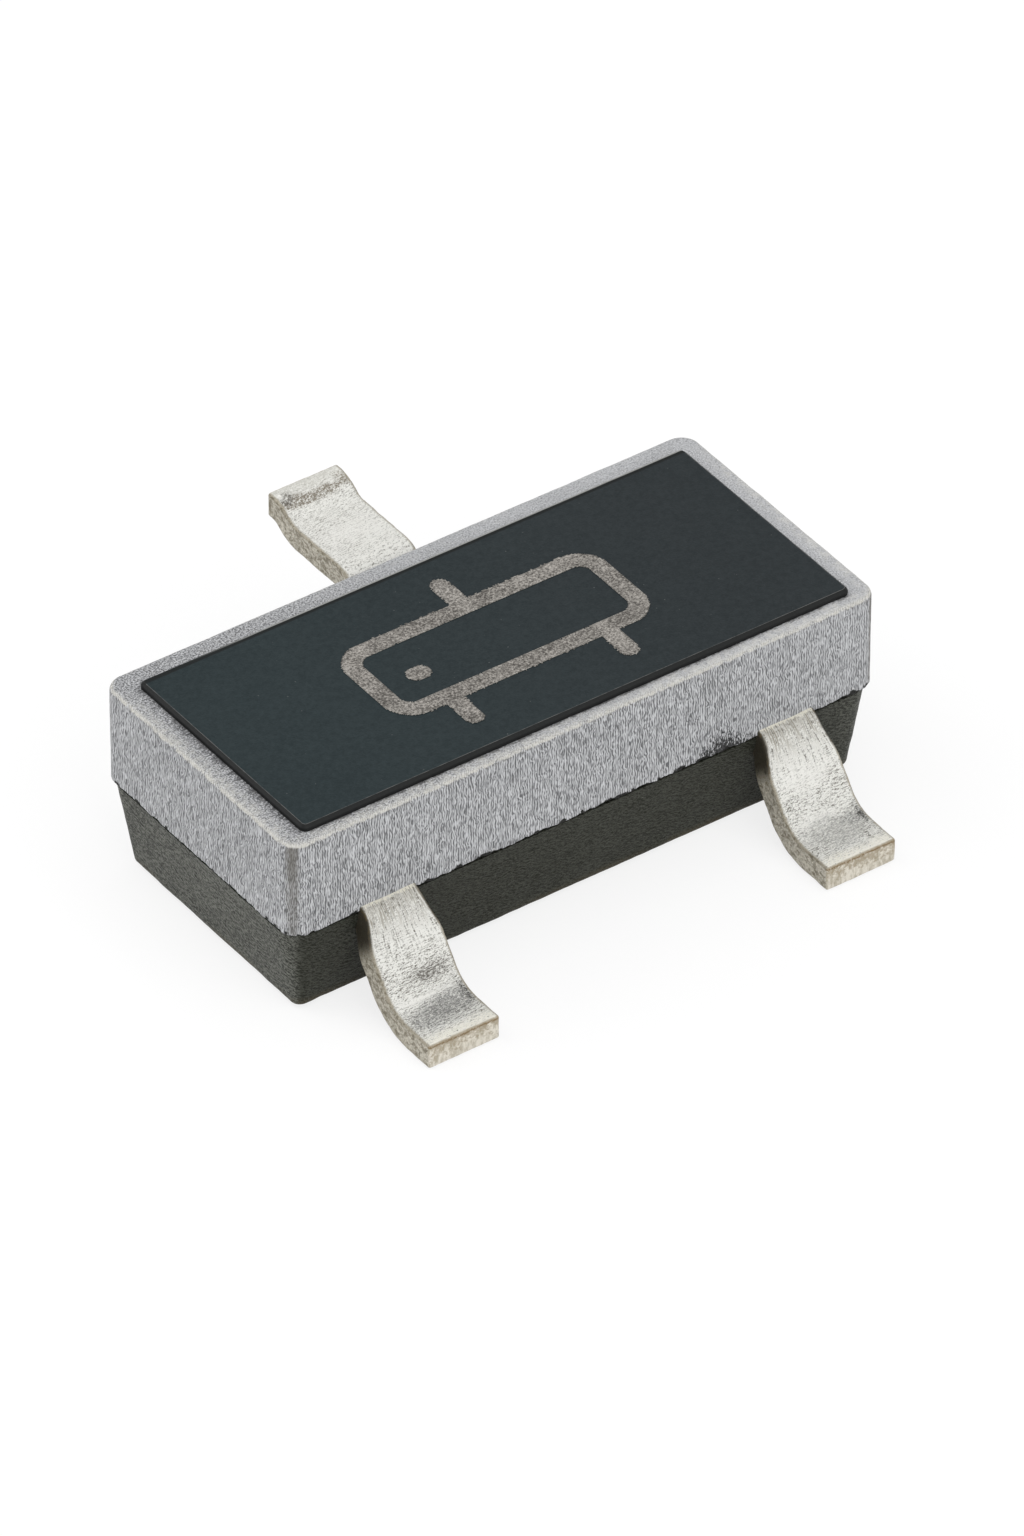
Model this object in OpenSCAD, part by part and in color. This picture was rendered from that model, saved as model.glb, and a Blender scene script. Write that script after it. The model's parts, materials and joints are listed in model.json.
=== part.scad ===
// Small-outline transistor with three leads: a two-part moulded body, a raised top plate,
// a formed lead frame, and the die and bond wires that the body seals in.
// The origin lies on the seating plane, under the middle of the body.
// X runs along the body, -Y is the side with two leads, and +Z is up. All sizes are in millimetres.

/* [Body] */
// Length of the body along X
body_length = 2.90; // [2.80:0.01:3.04]
// Width of the body along Y
body_width = 1.34; // [1.20:0.01:1.40]
// Height of the upper half, from the parting line to the rim
upper_height = 0.475; // [0.42:0.005:0.55]
// Height of the lower half, from the underside to the parting line
lower_height = 0.425; // [0.38:0.005:0.50]
// Gap between the seating plane and the underside
standoff = 0.01; // [0.005:0.005:0.10]
// Radius of the upper half's upright corners, seen from above
upper_corner = 0.09; // [0.06:0.005:0.16]
// Radius of the lower half's corners at the parting line, seen from above
lower_corner = 0.12; // [0.115:0.005:0.20]
// Draft of the lower half's sides, in degrees
lower_draft = 9.5; // [4:0.5:12]
// Rounding of the rim round the top
rim_radius = 0.03; // [0.010:0.002:0.040]
// Rounding of the upper half's edge along the parting line
seam_radius = 0.012; // [0.006:0.002:0.040]
// How far the lower half stands back from the upper half at the parting line
seam_step = 0.006; // [0.004:0.002:0.020]
// Rounding of the edge round the underside
base_radius = 0.03; // [0.010:0.005:0.040]

/* [Top plate] */
// Width of the rim left bare at each end of the plate
rim_end = 0.105; // [0.085:0.005:0.200]
// Width of the bare rim along the side with two leads
rim_front = 0.06; // [0.050:0.005:0.120]
// Width of the bare rim along the side with one lead
rim_back = 0.115; // [0.050:0.005:0.150]
// How far the plate stands above the rim
plate_rise = 0.03; // [0.020:0.005:0.060]
// How deep the plate is let into the upper half
plate_seat = 0.02; // [0.010:0.005:0.040]
// Chamfer round the plate's upper edge
plate_chamfer = 0.014; // [0.006:0.002:0.018]
// Radius of the plate's corners, seen from above
plate_corner = 0.03; // [0.020:0.005:0.100]

/* [Leads] */
// Distance between the middles of the two leads on one side
lead_pitch = 1.96; // [1.78:0.01:2.04]
// Full width of a lead
lead_width = 0.35; // [0.30:0.01:0.50]
// Thickness of the lead frame's sheet
lead_thickness = 0.12; // [0.09:0.005:0.15]
// How far the sheet stands above the parting line
lead_lift = 0.045; // [0.010:0.005:0.060]
// Width of a lead where it leaves the body
root_width = 0.28; // [0.20:0.01:0.29]
// Length of the narrow root outside the body
root_length = 0.01; // [0.005:0.005:0.050]
// Length over which the root widens to the full width
root_flare = 0.05; // [0.03:0.01:0.12]
// Inside radius of the bend beside the body
root_bend = 0.015; // [0.005:0.005:0.050]
// Straight length before the first bend
lead_stub = 0.01; // [0.005:0.005:0.030]

/* [Base and emitter leads] */
// Distance from the body's side to the tip of the foot
foot_reach = 0.53; // [0.50:0.01:0.64]
// Slope of the formed part, in degrees
foot_slope = 54; // [50:1:64]
// Inside radius of the bend above the foot
foot_bend = 0.18; // [0.08:0.01:0.20]
// How far inside the body's side the first bend of these leads starts
bend_inset = 0.05; // [0.02:0.005:0.07]

/* [Collector lead] */
// Distance from the body's side to the tip
collector_reach = 0.675; // [0.62:0.005:0.80]
// How far the raised shelf stands above the lead's own root
collector_rise = 0.34; // [0.20:0.005:0.38]
// Slope of the riser beside the body, in degrees
collector_slope = 85; // [70:1:88]
// Length of the lip, from its bend to the tip
lip_length = 0.07; // [0.06:0.01:0.18]
// How far the lip stands above the shelf
lip_rise = 0.06; // [0.04:0.005:0.08]
// Slope between the shelf and the lip, in degrees
lip_slope = 32; // [24:1:40]
// Inside radius of the two bends at the lip
lip_bend = 0.08; // [0.02:0.01:0.14]

/* [Inside the body] */
// Distance from the body's side to the widened end of a bonding post
post_setback = 0.18; // [0.12:0.01:0.24]
// Length of the widened end of a bonding post, along Y
post_depth = 0.32; // [0.20:0.01:0.36]
// Width of the widened end of a bonding post, along X
post_width = 0.55; // [0.40:0.01:0.64]
// How far a post's widened end is shifted towards the middle of the body
post_shift = 0.10; // [0.05:0.01:0.14]
// Distance from the body's side to the die paddle
paddle_setback = 0.18; // [0.12:0.01:0.24]
// Width of the die paddle along X
paddle_width = 0.86; // [0.60:0.01:0.96]
// Depth of the die paddle along Y
paddle_depth = 0.70; // [0.60:0.01:0.78]
// Side of the square die
die_size = 0.36; // [0.28:0.01:0.44]
// Height of the die
die_height = 0.14; // [0.10:0.01:0.18]
// Thickness of the layer that holds the die
bond_line = 0.015; // [0.010:0.005:0.030]
// How far that layer spreads beyond the die
bond_margin = 0.03; // [0.01:0.005:0.05]
// Diameter of a bond wire
wire_diameter = 0.03; // [0.020:0.002:0.040]
// Diameter of the ball that joins a wire to the die
ball_diameter = 0.075; // [0.060:0.005:0.090]
// Height of that ball
ball_height = 0.02; // [0.015:0.005:0.030]
// Height of the stiff neck above that ball
neck_height = 0.04; // [0.03:0.005:0.06]
// How much thicker that neck is than the wire
neck_extra = 0.008; // [0.004:0.002:0.012]
// Radius of a wire's loop, at the wire's middle
loop_radius = 0.70; // [0.60:0.01:0.90]
// Diameter of the flattened stitch that joins a wire to its post
stitch_diameter = 0.08; // [0.060:0.005:0.100]
// Height of that stitch
stitch_height = 0.012; // [0.008:0.002:0.016]

/* [Hidden] */
$fn = 64;

left = -1;
right = 1;
upper_colour = [0.74, 0.73, 0.79];
lower_colour = [0.20, 0.20, 0.18];
plate_colour = [0.19, 0.22, 0.24];
tin_colour = [0.80, 0.78, 0.74];
die_colour = [0.34, 0.36, 0.44];
bond_colour = [0.62, 0.62, 0.60];
wire_colour = [0.86, 0.69, 0.28];

parting_z = standoff + lower_height;
rim_z = parting_z + upper_height;
lower_inset = lower_height * tan(lower_draft);
plate_length = body_length - 2 * rim_end;
plate_width = body_width - rim_front - rim_back;
plate_height = plate_seat + plate_rise;
half_sheet = lead_thickness / 2;
sheet_top = parting_z + lead_lift;
sheet_mid = sheet_top - half_sheet;
side_y = body_width / 2;

// Radii at the middle of the sheet
root_arc = root_bend + half_sheet;
foot_arc = foot_bend + half_sheet;
// The two lip bends share the slope between them, so its length limits them
lip_arc = min(lip_bend + half_sheet, lip_rise / sin(lip_slope) / (2 * tan(lip_slope / 2)));

// Middle line of a formed lead, seen from the side: out along X from the body's side, up along Y
foot_drop = sheet_mid - half_sheet;
first_corner = root_arc * tan(foot_slope / 2) - bend_inset;
foot_line = [
    [-bend_inset - lead_stub, 0],
    [first_corner, 0],
    [first_corner + foot_drop / tan(foot_slope), -foot_drop],
    [foot_reach, -foot_drop]
];
foot_arcs = [0, root_arc, foot_arc, 0];

riser_corner = lead_stub + root_arc * tan(collector_slope / 2);
lip_corner = collector_reach - lip_length;
collector_line = [
    [0, 0],
    [riser_corner, 0],
    [riser_corner + collector_rise / tan(collector_slope), collector_rise],
    [lip_corner - lip_rise / tan(lip_slope), collector_rise],
    [lip_corner, collector_rise + lip_rise],
    [collector_reach, collector_rise + lip_rise]
];
collector_arcs = [0, root_arc, root_arc, lip_arc, lip_arc, 0];

paddle_mid_y = side_y - paddle_setback - paddle_depth / 2;
die_base = sheet_top + bond_line;
die_top = die_base + die_height;
// Where a wire meets the die and its post, seen from above
function pad_point(side) = [side * die_size / 4, paddle_mid_y - die_size / 6];
function post_point(side) = [
    side * (lead_pitch / 2 - post_shift),
    -side_y + post_setback + post_depth / 2
];

// Rounding the corner at p between its neighbours a and b by the radius r
function unit(v) = v / norm(v);
function half_angle(a, p, b) = acos(unit(a - p) * unit(b - p)) / 2;
function trim(a, p, b, r) = r / tan(half_angle(a, p, b));
function arc_centre(a, p, b, r) = p + unit(unit(a - p) + unit(b - p)) * r / sin(half_angle(a, p, b));
function trimmed_corner(a, p, b, r) =
    r > 0 ? [p + unit(a - p) * trim(a, p, b, r), p + unit(b - p) * trim(a, p, b, r)] : [p];
function turn_at(a, p, b) = (p.x - a.x) * (b.y - p.y) - (p.y - a.y) * (b.x - p.x);

// An outline drawn anticlockwise, where each corner has its own radius and 0 leaves it sharp
module rounded_outline(points, radii) {
    count = len(points);
    before = [for (i = [0 : count - 1]) points[(i + count - 1) % count]];
    after = [for (i = [0 : count - 1]) points[(i + 1) % count]];
    rounded = [for (i = [0 : count - 1]) if (radii[i] > 0) i];
    outward = [for (i = rounded) if (turn_at(before[i], points[i], after[i]) > 0) i];
    inward = [for (i = rounded) if (turn_at(before[i], points[i], after[i]) < 0) i];
    difference() {
        union() {
            polygon([
                for (i = [0 : count - 1])
                    each trimmed_corner(before[i], points[i], after[i], radii[i])
            ]);
            for (i = outward)
                translate(arc_centre(before[i], points[i], after[i], radii[i])) circle(radii[i]);
        }
        for (i = inward)
            translate(arc_centre(before[i], points[i], after[i], radii[i])) circle(radii[i]);
    }
}

// The part of a section that lies outside a corner's axis
module half_section(corner, height) {
    intersection() {
        square([corner, height]);
        children();
    }
}

// Carries a section, drawn outwards from a corner's axis, round a rounded rectangle
module moulded_block(length, width, corner, height) {
    along = length - 2 * corner;
    across = width - 2 * corner;
    translate([-along / 2, -across / 2, 0]) cube([along, across, height]);
    for (turn = [0, 180])
        rotate(turn) {
            translate([-along / 2, across / 2, 0])
                rotate([90, 0, 90]) linear_extrude(along) half_section(corner, height) children();
            translate([along / 2, across / 2, 0])
                rotate([90, 0, 0]) linear_extrude(across) half_section(corner, height) children();
            translate([along / 2, across / 2, 0])
                rotate_extrude(angle = 90) half_section(corner, height) children();
            translate([-along / 2, across / 2, 0])
                rotate(90) rotate_extrude(angle = 90) half_section(corner, height) children();
        }
}

module upper_block() {
    translate([0, 0, parting_z])
        moulded_block(body_length, body_width, upper_corner, upper_height)
            rounded_outline(
                [[0, 0], [upper_corner, 0], [upper_corner, upper_height], [0, upper_height]],
                [0, seam_radius, rim_radius, 0]
            );
}

module lower_block() {
    translate([0, 0, standoff])
        moulded_block(body_length - 2 * seam_step, body_width - 2 * seam_step, lower_corner, lower_height)
            rounded_outline(
                [[0, 0], [lower_corner - lower_inset, 0], [lower_corner, lower_height], [0, lower_height]],
                [0, base_radius, 0, 0]
            );
}

module plate_block() {
    translate([0, (rim_front - rim_back) / 2, rim_z - plate_seat])
        moulded_block(plate_length, plate_width, plate_corner, plate_height)
            polygon([
                [0, 0],
                [plate_corner, 0],
                [plate_corner, plate_height - plate_chamfer],
                [plate_corner - plate_chamfer, plate_height],
                [0, plate_height]
            ]);
}

// A line with level ends, moved sideways by a given distance with its corners mitred
function normal(a, b) = [a.y - b.y, b.x - a.x] / norm(b - a);
function mitre(m, n) = (m + n) / (1 + m * n);
function moved_line(line, shift) = [
    for (i = [0 : len(line) - 1])
        line[i] + shift * mitre(
            normal(line[max(i - 1, 0)], line[max(i, 1)]),
            normal(line[min(i, len(line) - 2)], line[min(i + 1, len(line) - 1)])
        )
];

// All that lies under one face of a bent strip; spare lengthens both ends
module under_face(line, arcs, shift, spare) {
    face = moved_line(line, shift);
    last = len(face) - 1;
    bent = [for (i = [1 : last - 1]) face[i]];
    turns = [for (i = [1 : last - 1]) sign(turn_at(face[i - 1], face[i], face[i + 1]))];
    start_x = face[0].x - spare;
    end_x = face[last].x + spare;
    rounded_outline(
        concat(
            [[start_x, -rim_z], [end_x, -rim_z], [end_x, face[last].y]],
            [for (i = [len(bent) - 1 : -1 : 0]) bent[i]],
            [[start_x, face[0].y]]
        ),
        concat([0, 0, 0], [for (i = [len(bent) - 1 : -1 : 0]) arcs[i + 1] - turns[i] * shift], [0])
    );
}

// Side view of a bent strip of sheet: the space between its two faces
module strip_profile(line, arcs) {
    difference() {
        under_face(line, arcs, half_sheet, 0);
        under_face(line, arcs, -half_sheet, lead_thickness);
    }
}

// Plan of a lead's formed part along +Y, from the start of its narrow root; Y = 0 is the body's side
module lead_plan(start, reach) {
    flare_end = root_length + root_flare;
    polygon([
        [-root_width / 2, start],
        [root_width / 2, start],
        [root_width / 2, root_length],
        [lead_width / 2, flare_end],
        [lead_width / 2, reach],
        [-lead_width / 2, reach],
        [-lead_width / 2, flare_end],
        [-root_width / 2, root_length]
    ]);
}

// A lead along +Y: the formed part, and the flat sheet inside the body as children
module stamped_lead(line, arcs, reach) {
    intersection() {
        rotate([90, 0, 90]) linear_extrude(lead_width, center = true) strip_profile(line, arcs);
        translate([0, 0, -rim_z]) linear_extrude(2 * rim_z) lead_plan(line[0].x, reach);
    }
    translate([0, 0, -half_sheet]) linear_extrude(lead_thickness) children();
}

// A sheet inside the body: a narrow neck behind the start of the formed part, then a wide end
module inner_sheet(start, setback, depth, width, shift) {
    translate([-root_width / 2, -setback]) square([root_width, setback + start]);
    translate([shift - width / 2, -setback - depth]) square([width, depth]);
}

module near_lead(side) {
    translate([side * lead_pitch / 2, -side_y, sheet_mid])
        rotate(180)
            stamped_lead(foot_line, foot_arcs, foot_reach)
                inner_sheet(foot_line[0].x, post_setback, post_depth, post_width, side * post_shift);
}

module far_lead() {
    translate([0, side_y, sheet_mid])
        stamped_lead(collector_line, collector_arcs, collector_reach)
            inner_sheet(collector_line[0].x, paddle_setback, paddle_depth, paddle_width, 0);
}

module lead_frame() {
    near_lead(left);
    near_lead(right);
    far_lead();
}

module bond_layer() {
    spread = die_size + 2 * bond_margin;
    translate([-spread / 2, paddle_mid_y - spread / 2, sheet_top]) cube([spread, spread, bond_line]);
}

module die_block() {
    translate([-die_size / 2, paddle_mid_y - die_size / 2, die_base]) cube([die_size, die_size, die_height]);
}

// A bond wire leaves the neck above its ball on the die and falls in one arc to its stitch on the post
module bond_wire(side) {
    pad = pad_point(side);
    post = post_point(side);
    start = [0, die_top + ball_height + neck_height - wire_diameter / 2];
    end = [norm(post - pad), sheet_top];
    half_chord = norm(end - start) / 2;
    centre = (start + end) / 2 - normal(start, end) * sqrt(loop_radius ^ 2 - half_chord ^ 2);
    start_angle = atan2(start.y - centre.y, start.x - centre.x);
    end_angle = atan2(end.y - centre.y, end.x - centre.x);
    overrun = asin(wire_diameter / loop_radius);
    translate([pad.x, pad.y, die_top]) {
        cylinder(h = ball_height, d = ball_diameter);
        cylinder(h = ball_height + neck_height, d = wire_diameter + neck_extra);
    }
    difference() {
        translate([pad.x, pad.y, 0])
            rotate(atan2(post.y - pad.y, post.x - pad.x))
                translate([centre.x, 0, centre.y])
                    rotate([90, 0, 0])
                        rotate(end_angle - overrun)
                            rotate_extrude(angle = start_angle - end_angle + overrun)
                                translate([loop_radius, 0]) circle(d = wire_diameter);
        translate([-body_length / 2, -body_width / 2, 0]) cube([body_length, body_width, sheet_top]);
    }
    translate([post.x, post.y, sheet_top]) cylinder(h = stitch_height, d = stitch_diameter);
}

module upper_body() {
    color(upper_colour)
        difference() {
            upper_block();
            plate_block();
            lead_frame();
            bond_layer();
            die_block();
            bond_wire(left);
            bond_wire(right);
        }
}

module lower_body() {
    color(lower_colour)
        difference() {
            lower_block();
            lead_frame();
        }
}

module top_plate() {
    color(plate_colour) plate_block();
}

module base_lead() {
    color(tin_colour) near_lead(left);
}

module emitter_lead() {
    color(tin_colour) near_lead(right);
}

module collector_lead() {
    color(tin_colour) far_lead();
}

module silicon_die() {
    color(die_colour) die_block();
}

module die_bond() {
    color(bond_colour) bond_layer();
}

module base_wire() {
    color(wire_colour) bond_wire(left);
}

module emitter_wire() {
    color(wire_colour) bond_wire(right);
}

upper_body();
lower_body();
top_plate();
base_lead();
emitter_lead();
collector_lead();
silicon_die();
die_bond();
base_wire();
emitter_wire();
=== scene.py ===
# %% [markdown]
# # A small-outline transistor, dressed
#
# The part is about 3 mm long: two moulded halves, a raised plate on top, and three tinned leads that were
# stamped from one sheet. The frame gives every piece at its real size, in metres. This lesson keeps the
# frame as it is and gives each surface the finish that a macro lens would see. The factory scene's own
# objects are cleared first, so that only the part is measured.

import json
import math

import bmesh
import bpy
from mathutils import Matrix, Vector

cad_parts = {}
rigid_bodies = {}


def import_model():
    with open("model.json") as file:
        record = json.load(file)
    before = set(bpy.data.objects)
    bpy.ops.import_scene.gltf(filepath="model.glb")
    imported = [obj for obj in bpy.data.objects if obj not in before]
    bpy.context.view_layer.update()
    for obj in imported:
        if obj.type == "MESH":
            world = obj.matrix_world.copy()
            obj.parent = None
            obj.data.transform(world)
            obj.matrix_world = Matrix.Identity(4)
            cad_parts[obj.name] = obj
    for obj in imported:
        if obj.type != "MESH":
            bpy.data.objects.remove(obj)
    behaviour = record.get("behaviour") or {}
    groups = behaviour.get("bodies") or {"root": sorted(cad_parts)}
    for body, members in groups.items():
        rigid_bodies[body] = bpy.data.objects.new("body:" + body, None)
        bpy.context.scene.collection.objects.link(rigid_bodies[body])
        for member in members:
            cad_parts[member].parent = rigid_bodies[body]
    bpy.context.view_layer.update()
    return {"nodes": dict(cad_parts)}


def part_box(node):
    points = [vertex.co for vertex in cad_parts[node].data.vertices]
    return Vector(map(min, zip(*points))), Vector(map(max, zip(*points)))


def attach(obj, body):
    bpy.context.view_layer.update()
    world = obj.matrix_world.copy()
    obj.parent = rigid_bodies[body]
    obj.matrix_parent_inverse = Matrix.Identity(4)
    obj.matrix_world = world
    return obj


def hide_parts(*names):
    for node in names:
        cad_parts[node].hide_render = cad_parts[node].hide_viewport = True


for leftover in list(bpy.data.objects):
    bpy.data.objects.remove(leftover)
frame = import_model()
MM = 0.001

# %% [markdown]
# ## Reading places from the frame
#
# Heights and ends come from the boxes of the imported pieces, so that nothing here has to be fitted by eye. A
# box can't tell a corner's radius or a bend's, so those few sizes are named where they are first used.

# %% Measure the pieces
upper_low, upper_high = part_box("upper_body")
lower_low, lower_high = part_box("lower_body")
plate_low, plate_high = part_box("top_plate")
base_low, base_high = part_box("base_lead")
emitter_low, emitter_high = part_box("emitter_lead")
collector_low, collector_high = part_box("collector_lead")
parting_z = upper_low.z
rim_z = upper_high.z
side_y = upper_high.y
print("parting line at", round(parting_z / MM, 3), "mm, rim at", round(rim_z / MM, 3), "mm")

# %% [markdown]
# ## The camera
#
# The photograph was taken from the front left, 38 degrees above the table, with a long lens. The distance,
# the lens and the small offsets come from fitting the body's edges in the picture, so the camera stands
# where the photographer's did and needs no shift.

# %% Place the camera
VIEW_AZIMUTH = math.radians(-35.31)
VIEW_ELEVATION = math.radians(38.28)
VIEW_DISTANCE = 62.58 * MM
VIEW_RIGHT = 0.0813 * MM
VIEW_UP = -0.5304 * MM
SENSOR_HEIGHT = 36.0
LENS = 364.5
CLIP_START = 1 * MM
CLIP_END = 2.0


def camera_axes(azimuth, elevation):
    """The directions right, up and back of a camera that looks at the origin from these angles."""
    back = Vector((
        math.sin(azimuth) * math.cos(elevation),
        -math.cos(azimuth) * math.cos(elevation),
        math.sin(elevation),
    ))
    right = Vector((math.cos(azimuth), math.sin(azimuth), 0))
    return right, back.cross(right), back


def standing_at(spot, axes):
    """The matrix of an object at a spot, with its X, Y and Z along the axes."""
    return Matrix.Translation(spot) @ Matrix(axes).transposed().to_4x4()


view_axes = camera_axes(VIEW_AZIMUTH, VIEW_ELEVATION)
right, up, back = view_axes
aim = Vector((0, 0, rim_z)) + right * VIEW_RIGHT + up * VIEW_UP
lens = bpy.data.cameras.new("camera")
lens.lens = LENS
lens.sensor_fit = "VERTICAL"
lens.sensor_height = SENSOR_HEIGHT
lens.clip_start = CLIP_START
lens.clip_end = CLIP_END
camera = bpy.data.objects.new("camera", lens)
camera.matrix_world = standing_at(aim + back * VIEW_DISTANCE, view_axes)
bpy.context.scene.collection.objects.link(camera)
bpy.context.scene.camera = camera
print("camera at", [round(v / MM, 2) for v in camera.location], "mm")

# %% [markdown]
# ## Nodes written as expressions
#
# Both the shapes and the finishes are node trees. Wiring them by hand hides the idea, so one small class
# wraps a socket: adding or multiplying two of them places the Math node that does it. Every other node
# comes from one method, which takes the node's type, its settings and its inputs.

# %% Wrap a socket
class Val:
    """A socket in a node tree. Arithmetic on it adds Math nodes to that tree."""

    def __init__(self, socket):
        self.socket = socket

    def node(self, kind, settings=None, inputs=None, out=0):
        return add_node(self.socket.id_data, kind, settings, inputs, out)

    def math(self, operation, *values):
        return self.node("ShaderNodeMath", {"operation": operation}, dict(enumerate(values)))

    def __add__(self, other):
        return self.math("ADD", self, other)

    def __radd__(self, other):
        return self.math("ADD", other, self)

    def __sub__(self, other):
        return self.math("SUBTRACT", self, other)

    def __rsub__(self, other):
        return self.math("SUBTRACT", other, self)

    def __mul__(self, other):
        return self.math("MULTIPLY", self, other)

    def __rmul__(self, other):
        return self.math("MULTIPLY", other, self)

    def __truediv__(self, other):
        return self.math("DIVIDE", self, other)

    def __rtruediv__(self, other):
        return self.math("DIVIDE", other, self)

    def __abs__(self):
        return self.math("ABSOLUTE", self)

    def root(self):
        return self.math("SQRT", self)

    def sine(self):
        return self.math("SINE", self)

    def above(self, other):
        return self.math("GREATER_THAN", self, other)

    def least(self, other):
        return self.math("MINIMUM", self, other)

    def most(self, other):
        return self.math("MAXIMUM", self, other)

    def smooth(self, low, high):
        """0 below low and 1 above high, with a soft step between; low may be the larger."""
        return self.node(
            "ShaderNodeMapRange",
            {"interpolation_type": "SMOOTHSTEP"},
            {"Value": self, "From Min": low, "From Max": high},
        )

    def vector(self, operation, *values):
        return self.node("ShaderNodeVectorMath", {"operation": operation}, dict(enumerate((self, *values))))

    def scaled(self, amount):
        """A vector made longer or shorter by a number."""
        return self.node("ShaderNodeVectorMath", {"operation": "SCALE"}, {"Vector": self, "Scale": amount})

    def split(self):
        """The three parts of a vector."""
        parts = self.node("ShaderNodeSeparateXYZ", None, {0: self}).socket.node
        return [Val(output) for output in parts.outputs]


def add_node(tree, kind, settings=None, inputs=None, out=0):
    """Adds one node, sets it up, feeds its inputs by name or number, and returns one of its outputs."""
    node = tree.nodes.new(kind)
    for name, value in (settings or {}).items():
        setattr(node, name, value)
    for key, value in (inputs or {}).items():
        if isinstance(value, Val):
            tree.links.new(value.socket, node.inputs[key])
        else:
            node.inputs[key].default_value = value
    return Val(node.outputs[out])


print("sockets add, subtract, multiply and divide")

# %% [markdown]
# ## Growing a piece from a rule
#
# A Geometry Nodes tree holds a rule with named inputs. It runs once, on an empty object, and its result
# becomes a plain mesh: the modifier is taken away again, because the part has to stand without it. Shells
# that the rule leaves open are closed here, and the faces are turned outwards.

# %% Make trees and meshes
def new_tree(name, **sockets):
    tree = bpy.data.node_groups.new(name, "GeometryNodeTree")
    tree.interface.new_socket("Geometry", in_out="OUTPUT", socket_type="NodeSocketGeometry")
    for label, kind in sockets.items():
        tree.interface.new_socket(label, in_out="INPUT", socket_type="NodeSocket" + kind)
    entry = tree.nodes.new("NodeGroupInput")
    return tree, {socket.name: Val(socket) for socket in entry.outputs if socket.name}


def end_tree(tree, geometry, material):
    plain = add_node(tree, "GeometryNodeRealizeInstances", None, {0: geometry})
    soft = plain.node("GeometryNodeSetShadeSmooth", None, {0: plain})
    painted = soft.node("GeometryNodeSetMaterial", None, {"Geometry": soft, "Material": material})
    leave = tree.nodes.new("NodeGroupOutput")
    tree.links.new(painted.socket, leave.inputs[0])


def joined(tree, *parts):
    both = tree.nodes.new("GeometryNodeJoinGeometry")
    for part in parts:
        tree.links.new(part.socket, both.inputs[0])
    return Val(both.outputs[0])


def grow(name, tree, **values):
    """Runs a rule once with these inputs and keeps its result as a plain mesh."""
    piece = bpy.data.objects.new(name, bpy.data.meshes.new(name))
    bpy.context.scene.collection.objects.link(piece)
    rule = piece.modifiers.new("rule", "NODES")
    rule.node_group = tree
    for item in tree.interface.items_tree:
        if item.in_out == "INPUT":
            rule[item.identifier] = values[item.name]
    graph = bpy.context.evaluated_depsgraph_get()
    mesh = bpy.data.meshes.new_from_object(piece.evaluated_get(graph), depsgraph=graph)
    piece.modifiers.remove(rule)
    piece.data = mesh
    mesh.name = name
    return piece


def close_shell(piece):
    """Closes holes, turns faces outwards and counts the edges that stay open."""
    shell = bmesh.new()
    shell.from_mesh(piece.data)
    bmesh.ops.remove_doubles(shell, verts=shell.verts, dist=MM / 1e5)
    bmesh.ops.holes_fill(shell, edges=[edge for edge in shell.edges if edge.is_boundary], sides=0)
    bmesh.ops.recalc_face_normals(shell, faces=shell.faces)
    open_edges = sum(not edge.is_manifold for edge in shell.edges)
    for face in shell.faces:
        face.smooth = True
    shell.to_mesh(piece.data)
    shell.free()
    return open_edges


def report(piece, open_edges):
    triangles = sum(len(face.vertices) - 2 for face in piece.data.polygons)
    print(piece.name, "has", triangles, "triangles and", open_edges, "open edges")


print("trees can be grown into plain meshes")

# %% [markdown]
# ## Mixing a finish
#
# A finish is one Principled shader with patterns that feed it. Patterns read the piece's own coordinates in
# millimetres, so a scale of 50 means fifty waves to the millimetre, and the grain keeps its true size.
# Colour is built up as a painter would do it: one coat over the whole piece, then thin coats over parts of
# it.

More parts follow.
